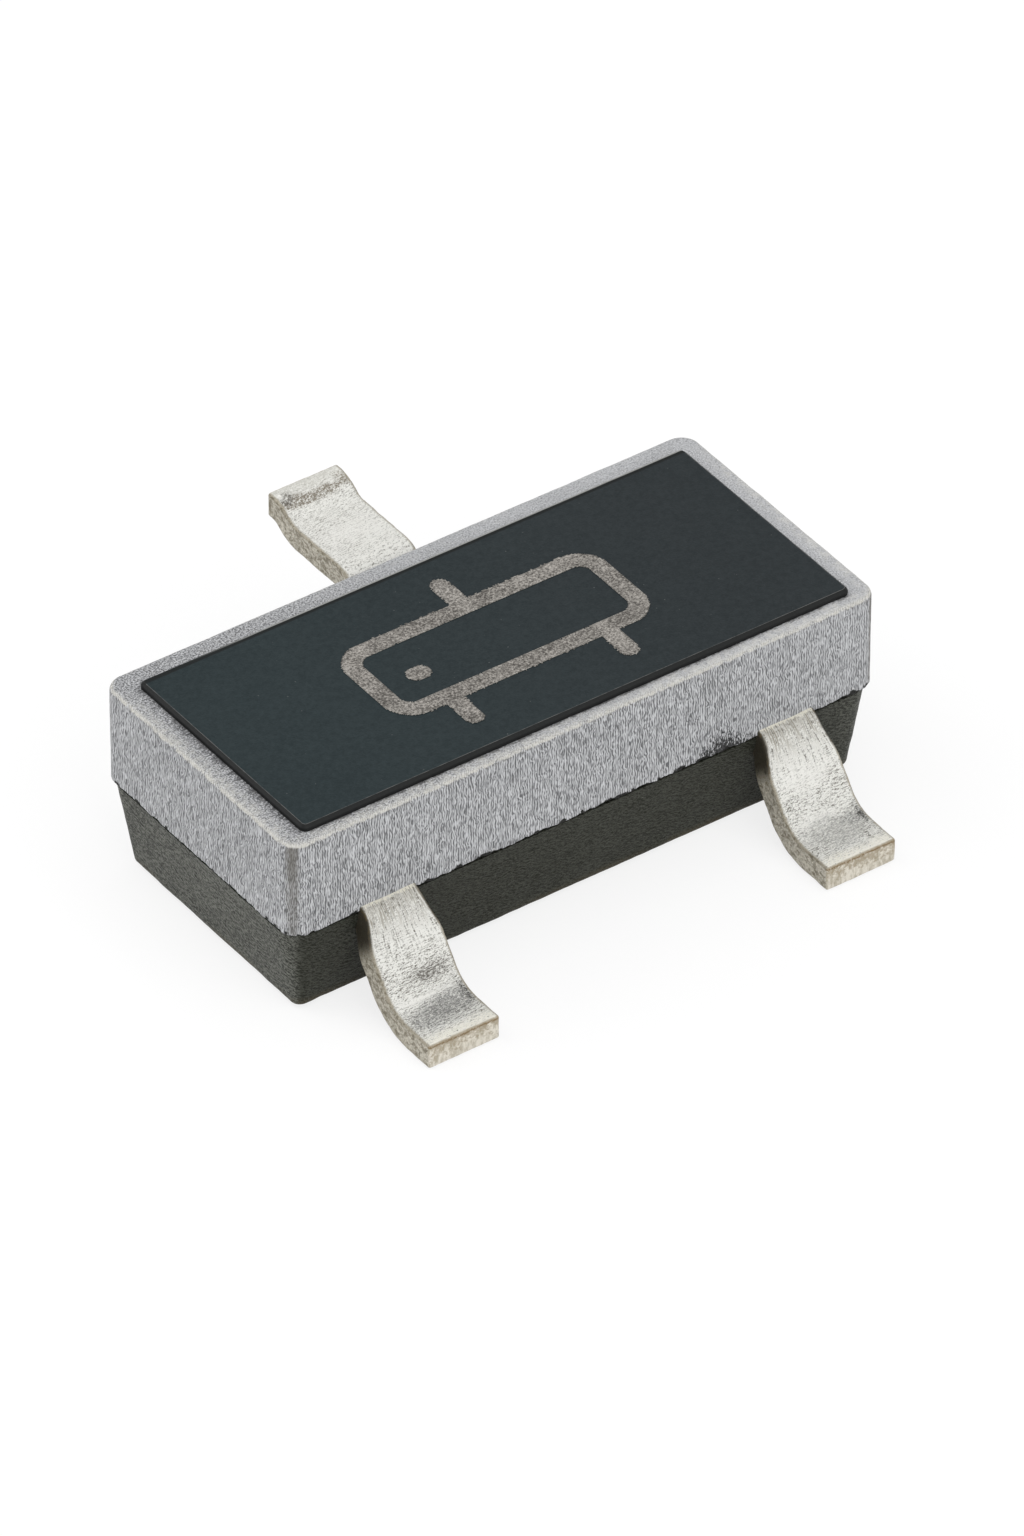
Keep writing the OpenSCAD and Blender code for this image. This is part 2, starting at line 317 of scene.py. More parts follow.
# %% Write a finish
class Finish:
    """A material, the patterns that feed its shader, and a colour that builds up coat by coat."""

    def __init__(self, name, constants, seed=0.0):
        self.material = bpy.data.materials.new(name)
        self.material.use_nodes = True
        self.tree = self.material.node_tree
        self.shader = self.tree.nodes["Principled BSDF"]
        for label, value in constants.items():
            self.shader.inputs[label].default_value = value
        self.place = self.node("ShaderNodeTexCoord", out="Object").scaled(1 / MM)
        self.facing = self.node("ShaderNodeTexCoord", out="Normal")
        self.seed = seed
        self.shade = None

    def node(self, kind, settings=None, inputs=None, out=0):
        return add_node(self.tree, kind, settings, inputs, out)

    def attribute(self, name):
        return self.node("ShaderNodeAttribute", {"attribute_name": name}, None, "Fac")

    def noise(self, scale, detail=2.0, rough=0.5, bend=0.0, shift=0.0, place=None):
        """Cloudy noise from 0 to 1; scale is one number, or one for each axis."""
        place = self.place if place is None else place
        stretch = scale if isinstance(scale, tuple) else (scale,) * 3
        spread = place.vector("MULTIPLY_ADD", stretch, (self.seed + shift,) * 3)
        return spread.node(
            "ShaderNodeTexNoise",
            {"noise_dimensions": "3D"},
            {"Vector": spread, "Scale": 1.0, "Detail": detail, "Roughness": rough, "Distortion": bend},
        )

    def mix(self, factor, first, second):
        """The first colour where the factor is 0, the second where it is 1."""
        return self.node("ShaderNodeMix", {"data_type": "RGBA"}, {0: factor, 6: first, 7: second}, 2)

    def coat(self, tone, dark, light):
        """The first coat of colour: dark where the tone is 0, light where it is 1."""
        self.shade = self.mix(tone, dark, light)

    def paint(self, cover, tint):
        """One more coat, which hides what lies below where cover is 1."""
        self.shade = self.mix(cover, self.shade, tint)

    def combine(self, *parts):
        return self.node("ShaderNodeCombineXYZ", None, dict(enumerate(parts)))

    def bump(self, height, depth):
        """Relief of the given depth in millimetres."""
        return self.node("ShaderNodeBump", None, {"Height": height, "Strength": 1.0, "Distance": depth * MM})

    def feed(self, label, value):
        self.tree.links.new(value.socket, self.shader.inputs[label])


def colour(red, green, blue):
    return (red, green, blue, 1.0)


print("finishes read millimetres")

# %% [markdown]
# ## The pale upper half
#
# The upper half is moulded from a pale grey compound. Its sides show an upright crinkle, like bark, left by
# the mould; the rim is only speckled. A photograph of every side could be pasted on, but it would blur up
# close and bring its own light along. So the crinkle is worked out: a ripple runs round the body, noise
# bends it and breaks it up, and one noise less the same noise moved a little paints strands lit from one
# side. That is painted light and shade in the colour: shaded hollows and lit ridges.

# %% Crinkled sides
CRINKLE_PITCH = 0.0120
CRINKLE_SCALE = (165.0, 165.0, 27.0)
CRINKLE_SHADE = (0.0024, 0.0024, -0.0024)
SWAY_REACH = 0.03
PALE_SHADED_HOLLOW = colour(0.125, 0.127, 0.132)
PALE_LIT_RIDGE = colour(0.59, 0.597, 0.613)


def crinkled_coat(finish, on_top, at_end, grain):
    """The first coat: strands with painted light and shade on the sides, and speckle on the rim. Returns the
    relief that goes with it.
    """
    x, y, _ = finish.place.split()
    sway = (finish.noise((22.0, 22.0, 16.0), 1.0) - 0.5) * SWAY_REACH
    drift = finish.place.vector("ADD", finish.combine(sway, sway, 0.0))
    upright = finish.noise(CRINKLE_SCALE, 1.0, place=drift)
    shaded = finish.noise(CRINKLE_SCALE, 1.0, place=drift.vector("ADD", CRINKLE_SHADE))
    bends = finish.noise((24.0, 24.0, 30.0), 1.0, shift=41.0)
    around = (x - y) / CRINKLE_PITCH + bends * 1.7
    depth = finish.noise((80.0, 80.0, 22.0), 1.0, shift=43.0).smooth(0.22, 0.58)
    ripple = (around * math.tau).sine() * depth
    clumps = finish.noise((70.0, 70.0, 17.0), 2.0, 0.6, shift=53.0, place=drift) - 0.5
    # painted light and shade: the noise less its shifted copy gives each strand a lit side and a shaded side
    crinkle = (upright - shaded) * 1.7 + ripple * 0.32 + clumps * (0.55 - 0.30 * x.smooth(0.2, 1.2))
    crinkle = 0.5 + crinkle * (1 + 0.3 * at_end - 0.22 * x.smooth(0.3, 1.4))
    wrinkled = crinkle * (0.9 - 0.15 * at_end) + grain * (0.1 + 0.15 * at_end)
    lit = wrinkled + (grain - wrinkled) * on_top
    cloud = finish.noise(3.5, 3.0, 0.6, shift=3.0)
    tone = 0.5 + (lit - 0.5) * (1.5 + (2.8 - 2.5 * x.smooth(-1.2, 0.4)) * on_top)
    tone = tone + (cloud - 0.5) * 0.22 + on_top * (x.smooth(-1.4, 0.9) * 0.21 - 0.06)
    tone = tone + (1 - on_top) * x.smooth(0.2, 1.4) * 0.04
    # the coat runs from a shaded copy of the grey in the hollows to a lit copy on the ridges, with the
    # grain's own tone mixed in
    finish.coat(tone.smooth(-0.15, 1.15), PALE_SHADED_HOLLOW, PALE_LIT_RIDGE)
    return upright + (grain - upright) * on_top


print("strands are", CRINKLE_PITCH, "mm apart")

# %% [markdown]
# ## The rim and its edges
#
# Handling has rubbed the rim's rounded edges chalky, and they carry a painted highlight too; crumbs lie
# beside them. A painted shadow lies at the foot of the plate, and painted shade with brown grime sits on the
# lower part of the rim's edge. Each of these is a thin coat whose mask knows how far a point lies from an
# edge, or how far the surface leans there, and noise frays the mask's border.

# %% Chalky rim
BODY_HALF = upper_high / MM
PLATE_LOW = plate_low / MM
PLATE_HIGH = plate_high / MM
PLATE_FOOT_SHADOW = colour(0.05, 0.05, 0.052)
CHALK_AND_HIGHLIGHT = colour(0.68, 0.66, 0.60)
CRUMB = colour(0.70, 0.685, 0.635)
EDGE_GRIME_AND_SHADE = colour(0.16, 0.15, 0.125)


def chalky_rim(finish, on_top, grain):
    x, y, _ = finish.place.split()
    face_z = finish.facing.split()[2]
    # painted shadow at the foot of the plate: a frayed dark band beside its ends and a thin dark line along
    # its front
    fuzz = finish.noise((34.0, 110.0, 60.0), 3.0, 0.7, shift=11.0)
    from_end = PLATE_LOW.x - x
    from_front = PLATE_LOW.y - y
    along_end = from_front.smooth(0.006, -0.02) * (y - PLATE_HIGH.y).smooth(0.006, -0.02)
    along_front = from_end.smooth(0.006, -0.02) * (x - PLATE_HIGH.x).smooth(0.006, -0.02)
    fringe = (fuzz - from_end * 5.0).smooth(0.34, 0.52) * from_end.smooth(-0.008, 0.0) * along_end
    line = (fuzz - from_front * 14.0).smooth(0.34, 0.50) * from_front.smooth(-0.008, 0.0) * along_front
    finish.paint(fringe.most(line) * on_top * 0.8, PLATE_FOOT_SHADOW)

    # rubbed chalky edge with a painted highlight: a pale band where the rim's rounded edge leans between top
    # and side
    patchy = finish.noise(30.0, 4.0, 0.7, shift=19.0)
    leaning = face_z + (patchy - 0.5) * 0.8
    rim_edge = leaning.smooth(0.32, 0.56) * leaning.smooth(0.98, 0.74)
    finish.paint(rim_edge * patchy.smooth(0.24, 0.60) * 0.70, CHALK_AND_HIGHLIGHT)
    inset = (BODY_HALF.x - abs(x)).least(BODY_HALF.y - abs(y))
    crumbs = (inset + (grain - 0.5) * 0.04).smooth(0.075, 0.025) * patchy.smooth(0.40, 0.60) * on_top
    finish.paint(crumbs * y.smooth(0.60, 0.35) * 0.42, CRUMB)
    # brown grime and painted shade on the lower part of the rim's rounded edge
    under_edge = face_z.smooth(0.06, 0.2) * face_z.smooth(0.5, 0.3)
    finish.paint(under_edge * grain.smooth(0.50, 0.64) * 0.6, EDGE_GRIME_AND_SHADE)


print("the rim is", round(PLATE_LOW.x + BODY_HALF.x, 3), "mm wide at the ends")

# %% [markdown]
# ## The corners and the parting line
#
# The upright corners are a little brown. A ragged line of painted shade runs along the parting line, reaching
# higher in some places than in others; the edge is chipped pale, and a sooty smudge lies above it beside the
# right lead. The edge's teeth are cut into the shape as well; here they only get that painted shade and pale
# chips.

# %% Stained seam
PARTING = parting_z / MM
SMUDGE_X = 0.67
SMUDGE_HALF_LENGTH = 0.20
SMUDGE_HEIGHT = 0.15
CORNER_BROWN = colour(0.13, 0.122, 0.105)
FRESH_CHIP = colour(0.78, 0.78, 0.76)
SEAM_SHADE_BLACK = colour(0.008, 0.008, 0.007)
SOOT = colour(0.012, 0.012, 0.012)


def stained_seam(finish, on_top):
    x, _, z = finish.place.split()
    face_x, face_y, _ = finish.facing.split()
    corner = abs(face_x * face_y).smooth(0.33, 0.50) * (1 - on_top)
    streaks = finish.noise((60.0, 60.0, 8.0), 3.0, 0.65, shift=29.0)
    upper_part = 0.6 + 0.4 * z.smooth(PARTING + 0.1, PARTING + 0.45)
    finish.paint(corner * upper_part * streaks.smooth(0.28, 0.50) * 0.8, CORNER_BROWN)

    over_seam = z - PARTING
    notch = finish.noise(13.0, 2.0, 0.6, shift=17.0).smooth(0.50, 0.66)
    tooth = finish.noise((70.0, 70.0, 40.0), 3.0, 0.7, shift=37.0)
    reach = 0.009 + notch * 0.018 + (tooth - 0.5) * 0.030
    chip = (over_seam - reach).smooth(0.014, 0.006) * tooth.smooth(0.58, 0.66) * notch
    finish.paint(chip * 0.8, FRESH_CHIP)
    # painted shade: a ragged black line along the parting line, below the teeth
    finish.paint((over_seam - reach).smooth(0.003, -0.003), SEAM_SHADE_BLACK)

    from_smudge = abs(x - SMUDGE_X) / SMUDGE_HALF_LENGTH + over_seam / SMUDGE_HEIGHT
    soot = (1.15 - from_smudge).most(0.0) * face_y.smooth(-0.6, -0.9)
    speck = finish.noise((130.0, 130.0, 62.0), 2.0, 0.6, shift=47.0)
    soot = (speck + soot * 0.36).smooth(0.66, 0.73) * soot.smooth(0.0, 0.12)
    finish.paint(soot * 0.92, SOOT)


print("the smudge is", SMUDGE_HEIGHT, "mm high")

# %% Pale moulding
def pale_moulding():
    finish = Finish("pale_moulding", {"Specular IOR Level": 0.25})
    face_x, _, face_z = finish.facing.split()
    on_top = face_z.smooth(0.7, 0.98)
    at_end = abs(face_x).smooth(0.5, 0.9)
    grain = finish.noise(130.0, 2.0, 0.65, shift=7.0)
    relief = crinkled_coat(finish, on_top, at_end, grain)
    chalky_rim(finish, on_top, grain)
    stained_seam(finish, on_top)
    finish.feed("Base Color", finish.shade)
    finish.feed("Roughness", 0.62 + (relief - 0.5) * 0.2)
    finish.feed("Normal", finish.bump(relief, 0.0055))
    return finish.material


pale_finish = pale_moulding()
print("pale moulding uses", len(pale_finish.node_tree.nodes), "nodes")

# %% [markdown]
# ## The dark lower half
#
# The lower half is a dark olive-black compound with a leathery skin. Painted shade darkens its hollows and
# painted light brightens its folds; its end faces are lighter, and a trace of brown lies along the bottom
# edges. The skin's folds run along the sides, so its noise is stretched that way, and little gloss is left,
# because gloss would wash the grain out.

# %% Dark moulding
BASE = lower_low.z / MM
LEATHER_SCALE = (58.0, 58.0, 95.0)
LEATHER_SHADE = (0.003, 0.003, 0.004)
DARK_SHADED_HOLLOW = colour(0.013, 0.0138, 0.0085)
DARK_LIT_RIDGE = colour(0.055, 0.057, 0.046)
END_SHADED_HOLLOW = colour(0.026, 0.027, 0.022)
END_LIT_RIDGE = colour(0.166, 0.170, 0.148)
BOTTOM_BROWN = colour(0.10, 0.078, 0.042)
DARK_FLECK = colour(0.30, 0.30, 0.27)


def dark_moulding():
    finish = Finish("dark_moulding", {"Specular IOR Level": 0.08})
    x, y, z = finish.place.split()
    face_x = finish.facing.split()[0]
    sway = finish.noise(6.0, 1.0) - 0.5
    sheet = finish.combine(x, y, z + (x - y) * 0.35 + sway * 0.06)
    leather = finish.noise(LEATHER_SCALE, 3.0, 0.6, 0.5, place=sheet)
    shaded = finish.noise(LEATHER_SCALE, 3.0, 0.6, 0.5, place=sheet.vector("ADD", LEATHER_SHADE))
    fine = finish.noise(90.0, 2.0, 0.65, shift=5.0)
    cloud = finish.noise(3.0, 3.0, 0.55, shift=9.0)
    # painted light and shade: the noise less its shifted copy gives the folds a lit side and a shaded side
    tone = 0.5 + (shaded - leather) * 2.8 + (leather - 0.5) * 0.9
    tone = tone + (fine - 0.5) * 2.1 + (cloud - 0.5) * 0.3
    finish.coat(tone.smooth(0.0, 1.0), DARK_SHADED_HOLLOW, DARK_LIT_RIDGE)
    # the end faces, and the front towards the right end, get a lighter coat
    at_end = abs(face_x).smooth(0.45, 0.9).most(x.smooth(1.0, 1.4) * 0.45)
    finish.paint(at_end, finish.mix(tone.smooth(0.10, 0.98), END_SHADED_HOLLOW, END_LIT_RIDGE))
    bottom = (z - BASE + (fine - 0.5) * 0.04).smooth(0.06, 0.0) * cloud.smooth(0.34, 0.62)
    finish.paint(bottom * 0.55, BOTTOM_BROWN)
    fleck = finish.noise(90.0, 1.0, shift=23.0).smooth(0.78, 0.83)
    finish.paint(fleck * 0.4, DARK_FLECK)
    finish.feed("Base Color", finish.shade)
    finish.feed("Roughness", 0.46 + (fine - 0.5) * 0.3)
    finish.feed("Normal", finish.bump(leather * 0.75 + fine * 0.25, 0.0085))
    return finish.material


dark_finish = dark_moulding()
print("dark moulding uses", len(dark_finish.node_tree.nodes), "nodes")

# %% [markdown]
# ## The slate plate
#
# The raised plate is dark slate, smoother than the rest, with a satin sheen and a few dust specks. A
# pattern that is too strong would make it look like stone, so the variation stays faint. Its wall is painted
# in shade, its top edge carries a painted highlight, and its far edge a painted shadow and a painted glint.

# %% Slate plate
COOL_DEEP = colour(0.0100, 0.0190, 0.0218)
COOL_HIGH = colour(0.0222, 0.0342, 0.0374)
WARM_DEEP = colour(0.0105, 0.0155, 0.0178)
WARM_HIGH = colour(0.0218, 0.0282, 0.0310)
PLATE_FLECK = colour(0.17, 0.18, 0.18)
PLATE_WALL_SHADE = colour(0.010, 0.011, 0.011)
PLATE_EDGE_HIGHLIGHT = colour(0.145, 0.145, 0.14)
FAR_SHADOW = colour(0.004, 0.005, 0.005)
FAR_GLINT = colour(0.46, 0.46, 0.44)


def slate_plate():
    finish = Finish("slate_plate", {"Specular IOR Level": 0.22})
    x, y, _ = finish.place.split()
    face_z = finish.facing.split()[2]
    fine = finish.noise(110.0, 2.0, 0.6)
    mottle = finish.noise(42.0, 2.0, 0.6, shift=2.0)
    cloud = finish.noise(1.6, 3.0, shift=4.0)
    tone = (fine + (mottle - 0.5) * 0.9 + (cloud - 0.5) * 0.3).smooth(0.1, 0.9)
    finish.coat(tone, COOL_DEEP, COOL_HIGH)
    finish.paint(x.smooth(-1.2, 1.2), finish.mix(tone, WARM_DEEP, WARM_HIGH))
    fleck = finish.noise(70.0, 1.0, 0.4, shift=31.0).smooth(0.79, 0.84)
    finish.paint(fleck * 0.45, PLATE_FLECK)
    # painted shade: the plate's wall and chamfer, which lean away from the top, are painted near black
    finish.paint(face_z.smooth(0.93, 0.78), PLATE_WALL_SHADE)
    # painted highlight: a light line on the chamfer's top edge, broken into patches by noise
    patchy = finish.noise(24.0, 3.0, 0.7, shift=13.0)
    edge_line = face_z.smooth(0.80, 0.90) * face_z.smooth(0.998, 0.96)
    finish.paint(edge_line * (0.35 + 0.65 * patchy.smooth(0.36, 0.6)) * 0.9, PLATE_EDGE_HIGHLIGHT)
    from_far = PLATE_HIGH.y - y
    finish.paint(from_far.smooth(0.042, 0.034) * 0.85, FAR_SHADOW)
    far_line = from_far.smooth(0.023, 0.018) * x.smooth(-1.2, -0.6) * face_z.smooth(0.88, 0.96)
    finish.paint(far_line * 0.7, FAR_GLINT)
    finish.feed("Base Color", finish.shade)
    finish.feed("Roughness", 0.5 + (fine - 0.5) * 0.2)
    finish.feed("Normal", finish.bump(fine, 0.0008))
    return finish.material


slate_finish = slate_plate()
print("slate plate uses", len(slate_finish.node_tree.nodes), "nodes")

# %% [markdown]
# ## The tinned leads
#
# The leads are copper alloy with a matte tin plating. The plating crackles like worn paint where the sheet
# was bent, and what marks it follows the strip: along it, across it, and up through the sheet. So the
# strip's rule stores those three measures at each point, and this finish reads them instead of plain
# coordinates.

# %% Patterns on a strip
LEAD_THICKNESS = 0.12
LEAD_WIDTH = 0.35
CRACKLE_SCALE = (90.0, 170.0, 125.0)
CRACKLE_SHADE = (0.0024, 0.0024, 0.0024)


class Tin(Finish):
    """Tin on one strip: it reads how far along, across and up in the sheet a point lies."""

    def __init__(self, name, seed):
        super().__init__(name, {"Specular IOR Level": 0.4}, seed)
        self.along, self.across, self.level = [self.attribute(part) for part in ("along", "across", "level")]
        self.place = self.combine(self.across, self.along, self.level)
        self.bent = self.noise(CRACKLE_SCALE, 2.0, 0.55, 0.8)
        self.worm = (1 - abs(self.bent - 0.5) * 8.0).most(0.0)
        self.rows = self.noise((26.0, 165.0, 50.0), 2.0, 0.6, 0.4, 2.0)
        self.fine = self.noise(150.0, 2.0, 0.6, shift=3.0)
        self.streak = self.noise((110.0, 12.0, 30.0), 3.0, 0.65, shift=5.0)
        self.grit = self.noise(100.0, 2.0, 0.65, 0.5, 6.0)
        self.cloud = self.noise(8.0, 3.0, 0.6, shift=9.0)
        self.grime = self.noise((50.0, 46.0, 56.0), 4.0, 0.7, 0.6, 13.0)


print("tin reads along, across and level")

# %% [markdown]
# ## Crackle, roots and smears
#
# The crackle lies in rows across the strip, and near the body it turns into streaks along it, with brown
# between them and a pale rubbed line where the body ends. The crackle's flanks get painted light and shade.
# Smears are where the forming tool pressed: soft ovals made of specks, which the crackle shows through. The
# same ovals lay rubbed tin with a painted highlight on some bends, and painted shade in the far lead's
# crease.

# %% Crackle and smears
ROOT_SHOWS = 0.045
ROOT_BROWN = colour(0.19, 0.165, 0.115)
ROOT_CREAM = colour(0.80, 0.77, 0.66)


def crackle_of(tin):
    """How far the tin lies above or below its middle tone, with painted light and shade on the crackle's
    flanks.
    """
    shaded = tin.noise(CRACKLE_SCALE, 2.0, 0.55, 0.8, place=tin.place.vector("ADD", CRACKLE_SHADE))
    near_root = tin.along.smooth(0.28, 0.06)
    broken = tin.worm * tin.cloud.smooth(0.34, 0.58)
    # painted light and shade: the crackle less its shifted copy gives each crack a lit side and a shaded side
    crackle = (tin.bent - shaded) * 2.6 + (tin.rows - 0.5) * 2.3 + (tin.bent - 0.5) * 0.8 - broken * 0.3
    streaks = (tin.streak - 0.5) * near_root * 3.6
    return crackle * (1 - near_root * 0.6) + streaks + (tin.fine - 0.5) * 0.6


def root_stains(tin):
    outside = tin.along + ROOT_SHOWS
    root = (outside + (tin.cloud - 0.5) * 0.14).smooth(0.19, 0.02) * tin.streak.smooth(0.46, 0.60)
    band = (outside + (tin.fine - 0.5) * 0.08 + (tin.cloud - 0.5) * 0.06).smooth(0.075, 0.035)
    tin.paint((root * 0.85).most(band * 0.32), ROOT_BROWN)
    tin.paint((outside + (tin.grit - 0.5) * 0.04).smooth(0.031, 0.025) * 0.8, ROOT_CREAM)


def smears(tin, marks, crackle):
    """Marks are (along, half length, across, half width, strength, colour) of soft ovals."""
    for middle, half_length, side, half_width, strength, tint in marks:
        away_along = (tin.along - middle) / half_length
        away_across = (tin.across - side) / half_width
        away = (away_along * away_along + away_across * away_across).root()
        patch = (away + (tin.cloud - 0.5) * 1.6 + (tin.fine - 0.5) * 0.8).smooth(1.15, 0.35)
        specks = (tin.grit + (patch - 1) * 0.36).smooth(0.36, 0.54)
        tin.paint(specks.most(patch * 0.4) * (0.9 - crackle * 0.9) * strength, tint)


print("tin shows from", -ROOT_SHOWS, "mm along the strip")

# %% [markdown]
# ## Flanks and cut ends
#
# The plating is thin on the sheet's edges, so they are beige and mottled, sooty near the body and brown
# along their borders. The tip has turned cream. The face that the shear cut shows raw metal, dragged
# downwards, with a brown line of copper under the plating.

# %% Flanks and cut ends
HALF_WIDTH = LEAD_WIDTH / 2
HALF_THICKNESS = LEAD_THICKNESS / 2
FLANK_BROWN = colour(0.20, 0.172, 0.115)
FLANK_BEIGE = colour(0.69, 0.65, 0.55)
FLANK_SOOT = colour(0.040, 0.036, 0.026)
FLANK_CRACK = colour(0.09, 0.075, 0.048)
RIND_BROWN = colour(0.15, 0.112, 0.055)
TIP_CREAM = colour(0.87, 0.845, 0.75)
RAW_DARK = colour(0.40, 0.360, 0.275)
RAW_LIGHT = colour(0.70, 0.66, 0.575)
RAW_BROWN = colour(0.29, 0.235, 0.15)
COPPER_LINE = colour(0.17, 0.105, 0.035)


def flanks(tin):
    """Paints the sheet's edges and returns where they are."""
    flank = (abs(tin.across) + (tin.grime - 0.5) * 0.02).smooth(HALF_WIDTH - 0.020, HALF_WIDTH - 0.006)
    beige = tin.mix(tin.grime.smooth(0.36, 0.62), FLANK_BROWN, FLANK_BEIGE)
    sooty = tin.along.smooth(0.24, 0.02) + (tin.grime - 0.5) * 0.9
    beige = tin.mix(sooty.smooth(0.25, 0.8), beige, FLANK_SOOT)
    beige = tin.mix(tin.worm * 0.45, beige, FLANK_CRACK)
    border = abs(tin.level).smooth(HALF_THICKNESS - 0.018, HALF_THICKNESS - 0.009)
    rind = border * tin.grime.smooth(0.46, 0.60)
    tin.paint(flank, tin.mix(rind * 0.5, beige, RIND_BROWN))
    return flank


def cut_end(tin, length, cream, flank):
    """Paints the tip and the face that was cut, and returns where that face is."""
    tip = (tin.along + (tin.cloud - 0.5) * 0.06).smooth(length - 0.085, length - 0.025)
    tip = tip * tin.level.smooth(0.0, 0.04) * (1 - flank) * tin.grit.smooth(0.30, 0.50)
    tin.paint(tip * cream, TIP_CREAM)
    cut = tin.along.smooth(length - 0.014, length - 0.005)
    drag = tin.noise((60.0, 30.0, 22.0), 3.0, 0.6, shift=21.0)
    raw = tin.mix(drag.smooth(0.28, 0.62), RAW_DARK, RAW_LIGHT)
    tin.paint(cut, tin.mix((tin.grime + tin.level * 2.4).smooth(0.44, 0.64) * 0.75, raw, RAW_BROWN))
    ragged = tin.level + (tin.grime - 0.5) * 0.016
    copper = tin.along.smooth(length - 0.016, length - 0.008) * ragged.smooth(0.041, 0.046)
    copper = copper * ragged.smooth(0.056, 0.051) * tin.fine.smooth(0.36, 0.5)
    tin.paint(copper * 0.85, COPPER_LINE)
    return cut


print("the sheet is", LEAD_THICKNESS, "mm thick")

# %% Tinned lead
SHADED_WORN_TIN = colour(0.11, 0.10, 0.078)
BRIGHT_TIN = colour(0.79, 0.785, 0.745)


def tinned_lead(name, length, marks, seed, wear, cream):
    """Wear sets how strongly the plating crackles, and cream how much of it has turned yellow at the tip."""
    tin = Tin(name, seed)
    crackle = crackle_of(tin)
    tone = 0.90 + crackle * wear
    tin.coat(tone.smooth(0.0, 1.0), SHADED_WORN_TIN, BRIGHT_TIN)
    root_stains(tin)
    smears(tin, marks, crackle)
    cut = cut_end(tin, length, cream, flanks(tin))
    tin.feed("Base Color", tin.shade)
    tin.feed("Roughness", 0.42 + (tin.fine - 0.5) * 0.3 + tin.worm * 0.1)
    tin.feed("Metallic", tone.smooth(0.3, 0.9) * (1 - cut) * 0.2)
    tin.feed("Normal", tin.bump(tin.fine * 0.3 + tin.rows * 0.4 + tin.bent * 0.4, 0.0030))
    return tin.material


print("each lead gets its own tin")

# %% [markdown]
# ## What the body seals in
#
# The die, the layer that holds it and the two bond wires can't be seen, but they are part of the part. They
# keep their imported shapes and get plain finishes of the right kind: polished silicon with a faint mottle,
# silver-filled adhesive with coarse grains, and drawn gold.

# %% Inner finishes
def silicon():
    finish = Finish("silicon", {"Metallic": 0.7, "Specular IOR Level": 0.6})
    mottle = finish.noise((24.0, 24.0, 4.0), 1.0, 0.4)
    finish.coat(mottle.smooth(0.4, 0.6), colour(0.10, 0.11, 0.16), colour(0.16, 0.17, 0.23))
    finish.feed("Base Color", finish.shade)
    finish.feed("Roughness", 0.18 + mottle * 0.1)
    return finish.material


def die_adhesive():
    finish = Finish("die_adhesive", {"Specular IOR Level": 0.5})
    grains = finish.noise(60.0, 3.0, 0.7)
    finish.coat(grains.smooth(0.35, 0.65), colour(0.22, 0.22, 0.21), colour(0.48, 0.48, 0.46))
    finish.feed("Base Color", finish.shade)
    finish.feed("Roughness", 0.35 + grains * 0.3)
    finish.feed("Metallic", grains.smooth(0.45, 0.6) * 0.6)
    finish.feed("Normal", finish.bump(grains, 0.002))
    return finish.material


def gold_wire():
    finish = Finish("gold_wire", {"Metallic": 1.0})
    drawn = finish.noise((90.0, 20.0, 90.0), 2.0, 0.6)
    finish.coat(drawn, colour(0.80, 0.56, 0.20), colour(0.95, 0.72, 0.33))
    finish.feed("Base Color", finish.shade)
    finish.feed("Roughness", 0.2 + drawn * 0.2)
    return finish.material


inner_finishes = {
    "silicon_die": silicon(),
    "die_bond": die_adhesive(),
    "base_wire": gold_wire(),
}
inner_finishes["emitter_wire"] = inner_finishes["base_wire"]
for node, material in inner_finishes.items():
    for slot in frame["nodes"][node].material_slots:
        slot.material = material
print("sealed pieces finished:", sorted(inner_finishes))

# %% [markdown]
# ## A section carried round an outline
#
# Both halves and the plate are one section carried round a rounded rectangle, as a mould cutter would run.
# The section is drawn once as a curve: outwards along X from the outline, and upwards along Y. The rule
# fillets the outline, sweeps the section and lets the surface wander by a hair, so that edges catch the
# light unevenly. An edge can also be made ragged at one height, as along the parting line.

# %% The rule for mouldings
moulding, put = new_tree(
    "moulding", Length="Float", Width="Float", Corner="Float", Spacing="Float", Section="Object",
    Wander="Float", WanderSize="Float", Ragged="Float", RaggedSize="Float", RaggedHeight="Float",
    RaggedReach="Float", Seed="Float", Material="Material",
)
outline = add_node(
    moulding,
    "GeometryNodeCurvePrimitiveQuadrilateral",
    None,
    {"Width": put["Length"], "Height": put["Width"]},
)
outline = outline.node(
    "GeometryNodeFilletCurve", {"mode": "POLY"}, {"Curve": outline, "Count": 20, "Radius": put["Corner"]}
)
outline = outline.node(
    "GeometryNodeResampleCurve", {"mode": "LENGTH"}, {"Curve": outline, "Length": put["Spacing"]}
)
outline = outline.node("GeometryNodeSetCurveNormal", {"mode": "Z_UP"}, {"Curve": outline})
section = outline.node("GeometryNodeObjectInfo", None, {"Object": put["Section"]}, "Geometry")
shell = outline.node(
    "GeometryNodeCurveToMesh", None, {"Curve": outline, "Profile Curve": section, "Scale": 1.0}
)
place = shell.node("GeometryNodeInputPosition")
outward = shell.node("GeometryNodeInputNormal")
wander = shell.node(
    "ShaderNodeTexNoise",
    {"noise_dimensions": "4D"},
    {"Vector": place, "W": put["Seed"], "Scale": 1 / put["WanderSize"], "Detail": 2.0},
)
hair = outward.scaled((0.8 - wander).most(0.0) * put["Wander"])
shell = shell.node("GeometryNodeSetPosition", None, {"Geometry": shell, "Offset": hair})
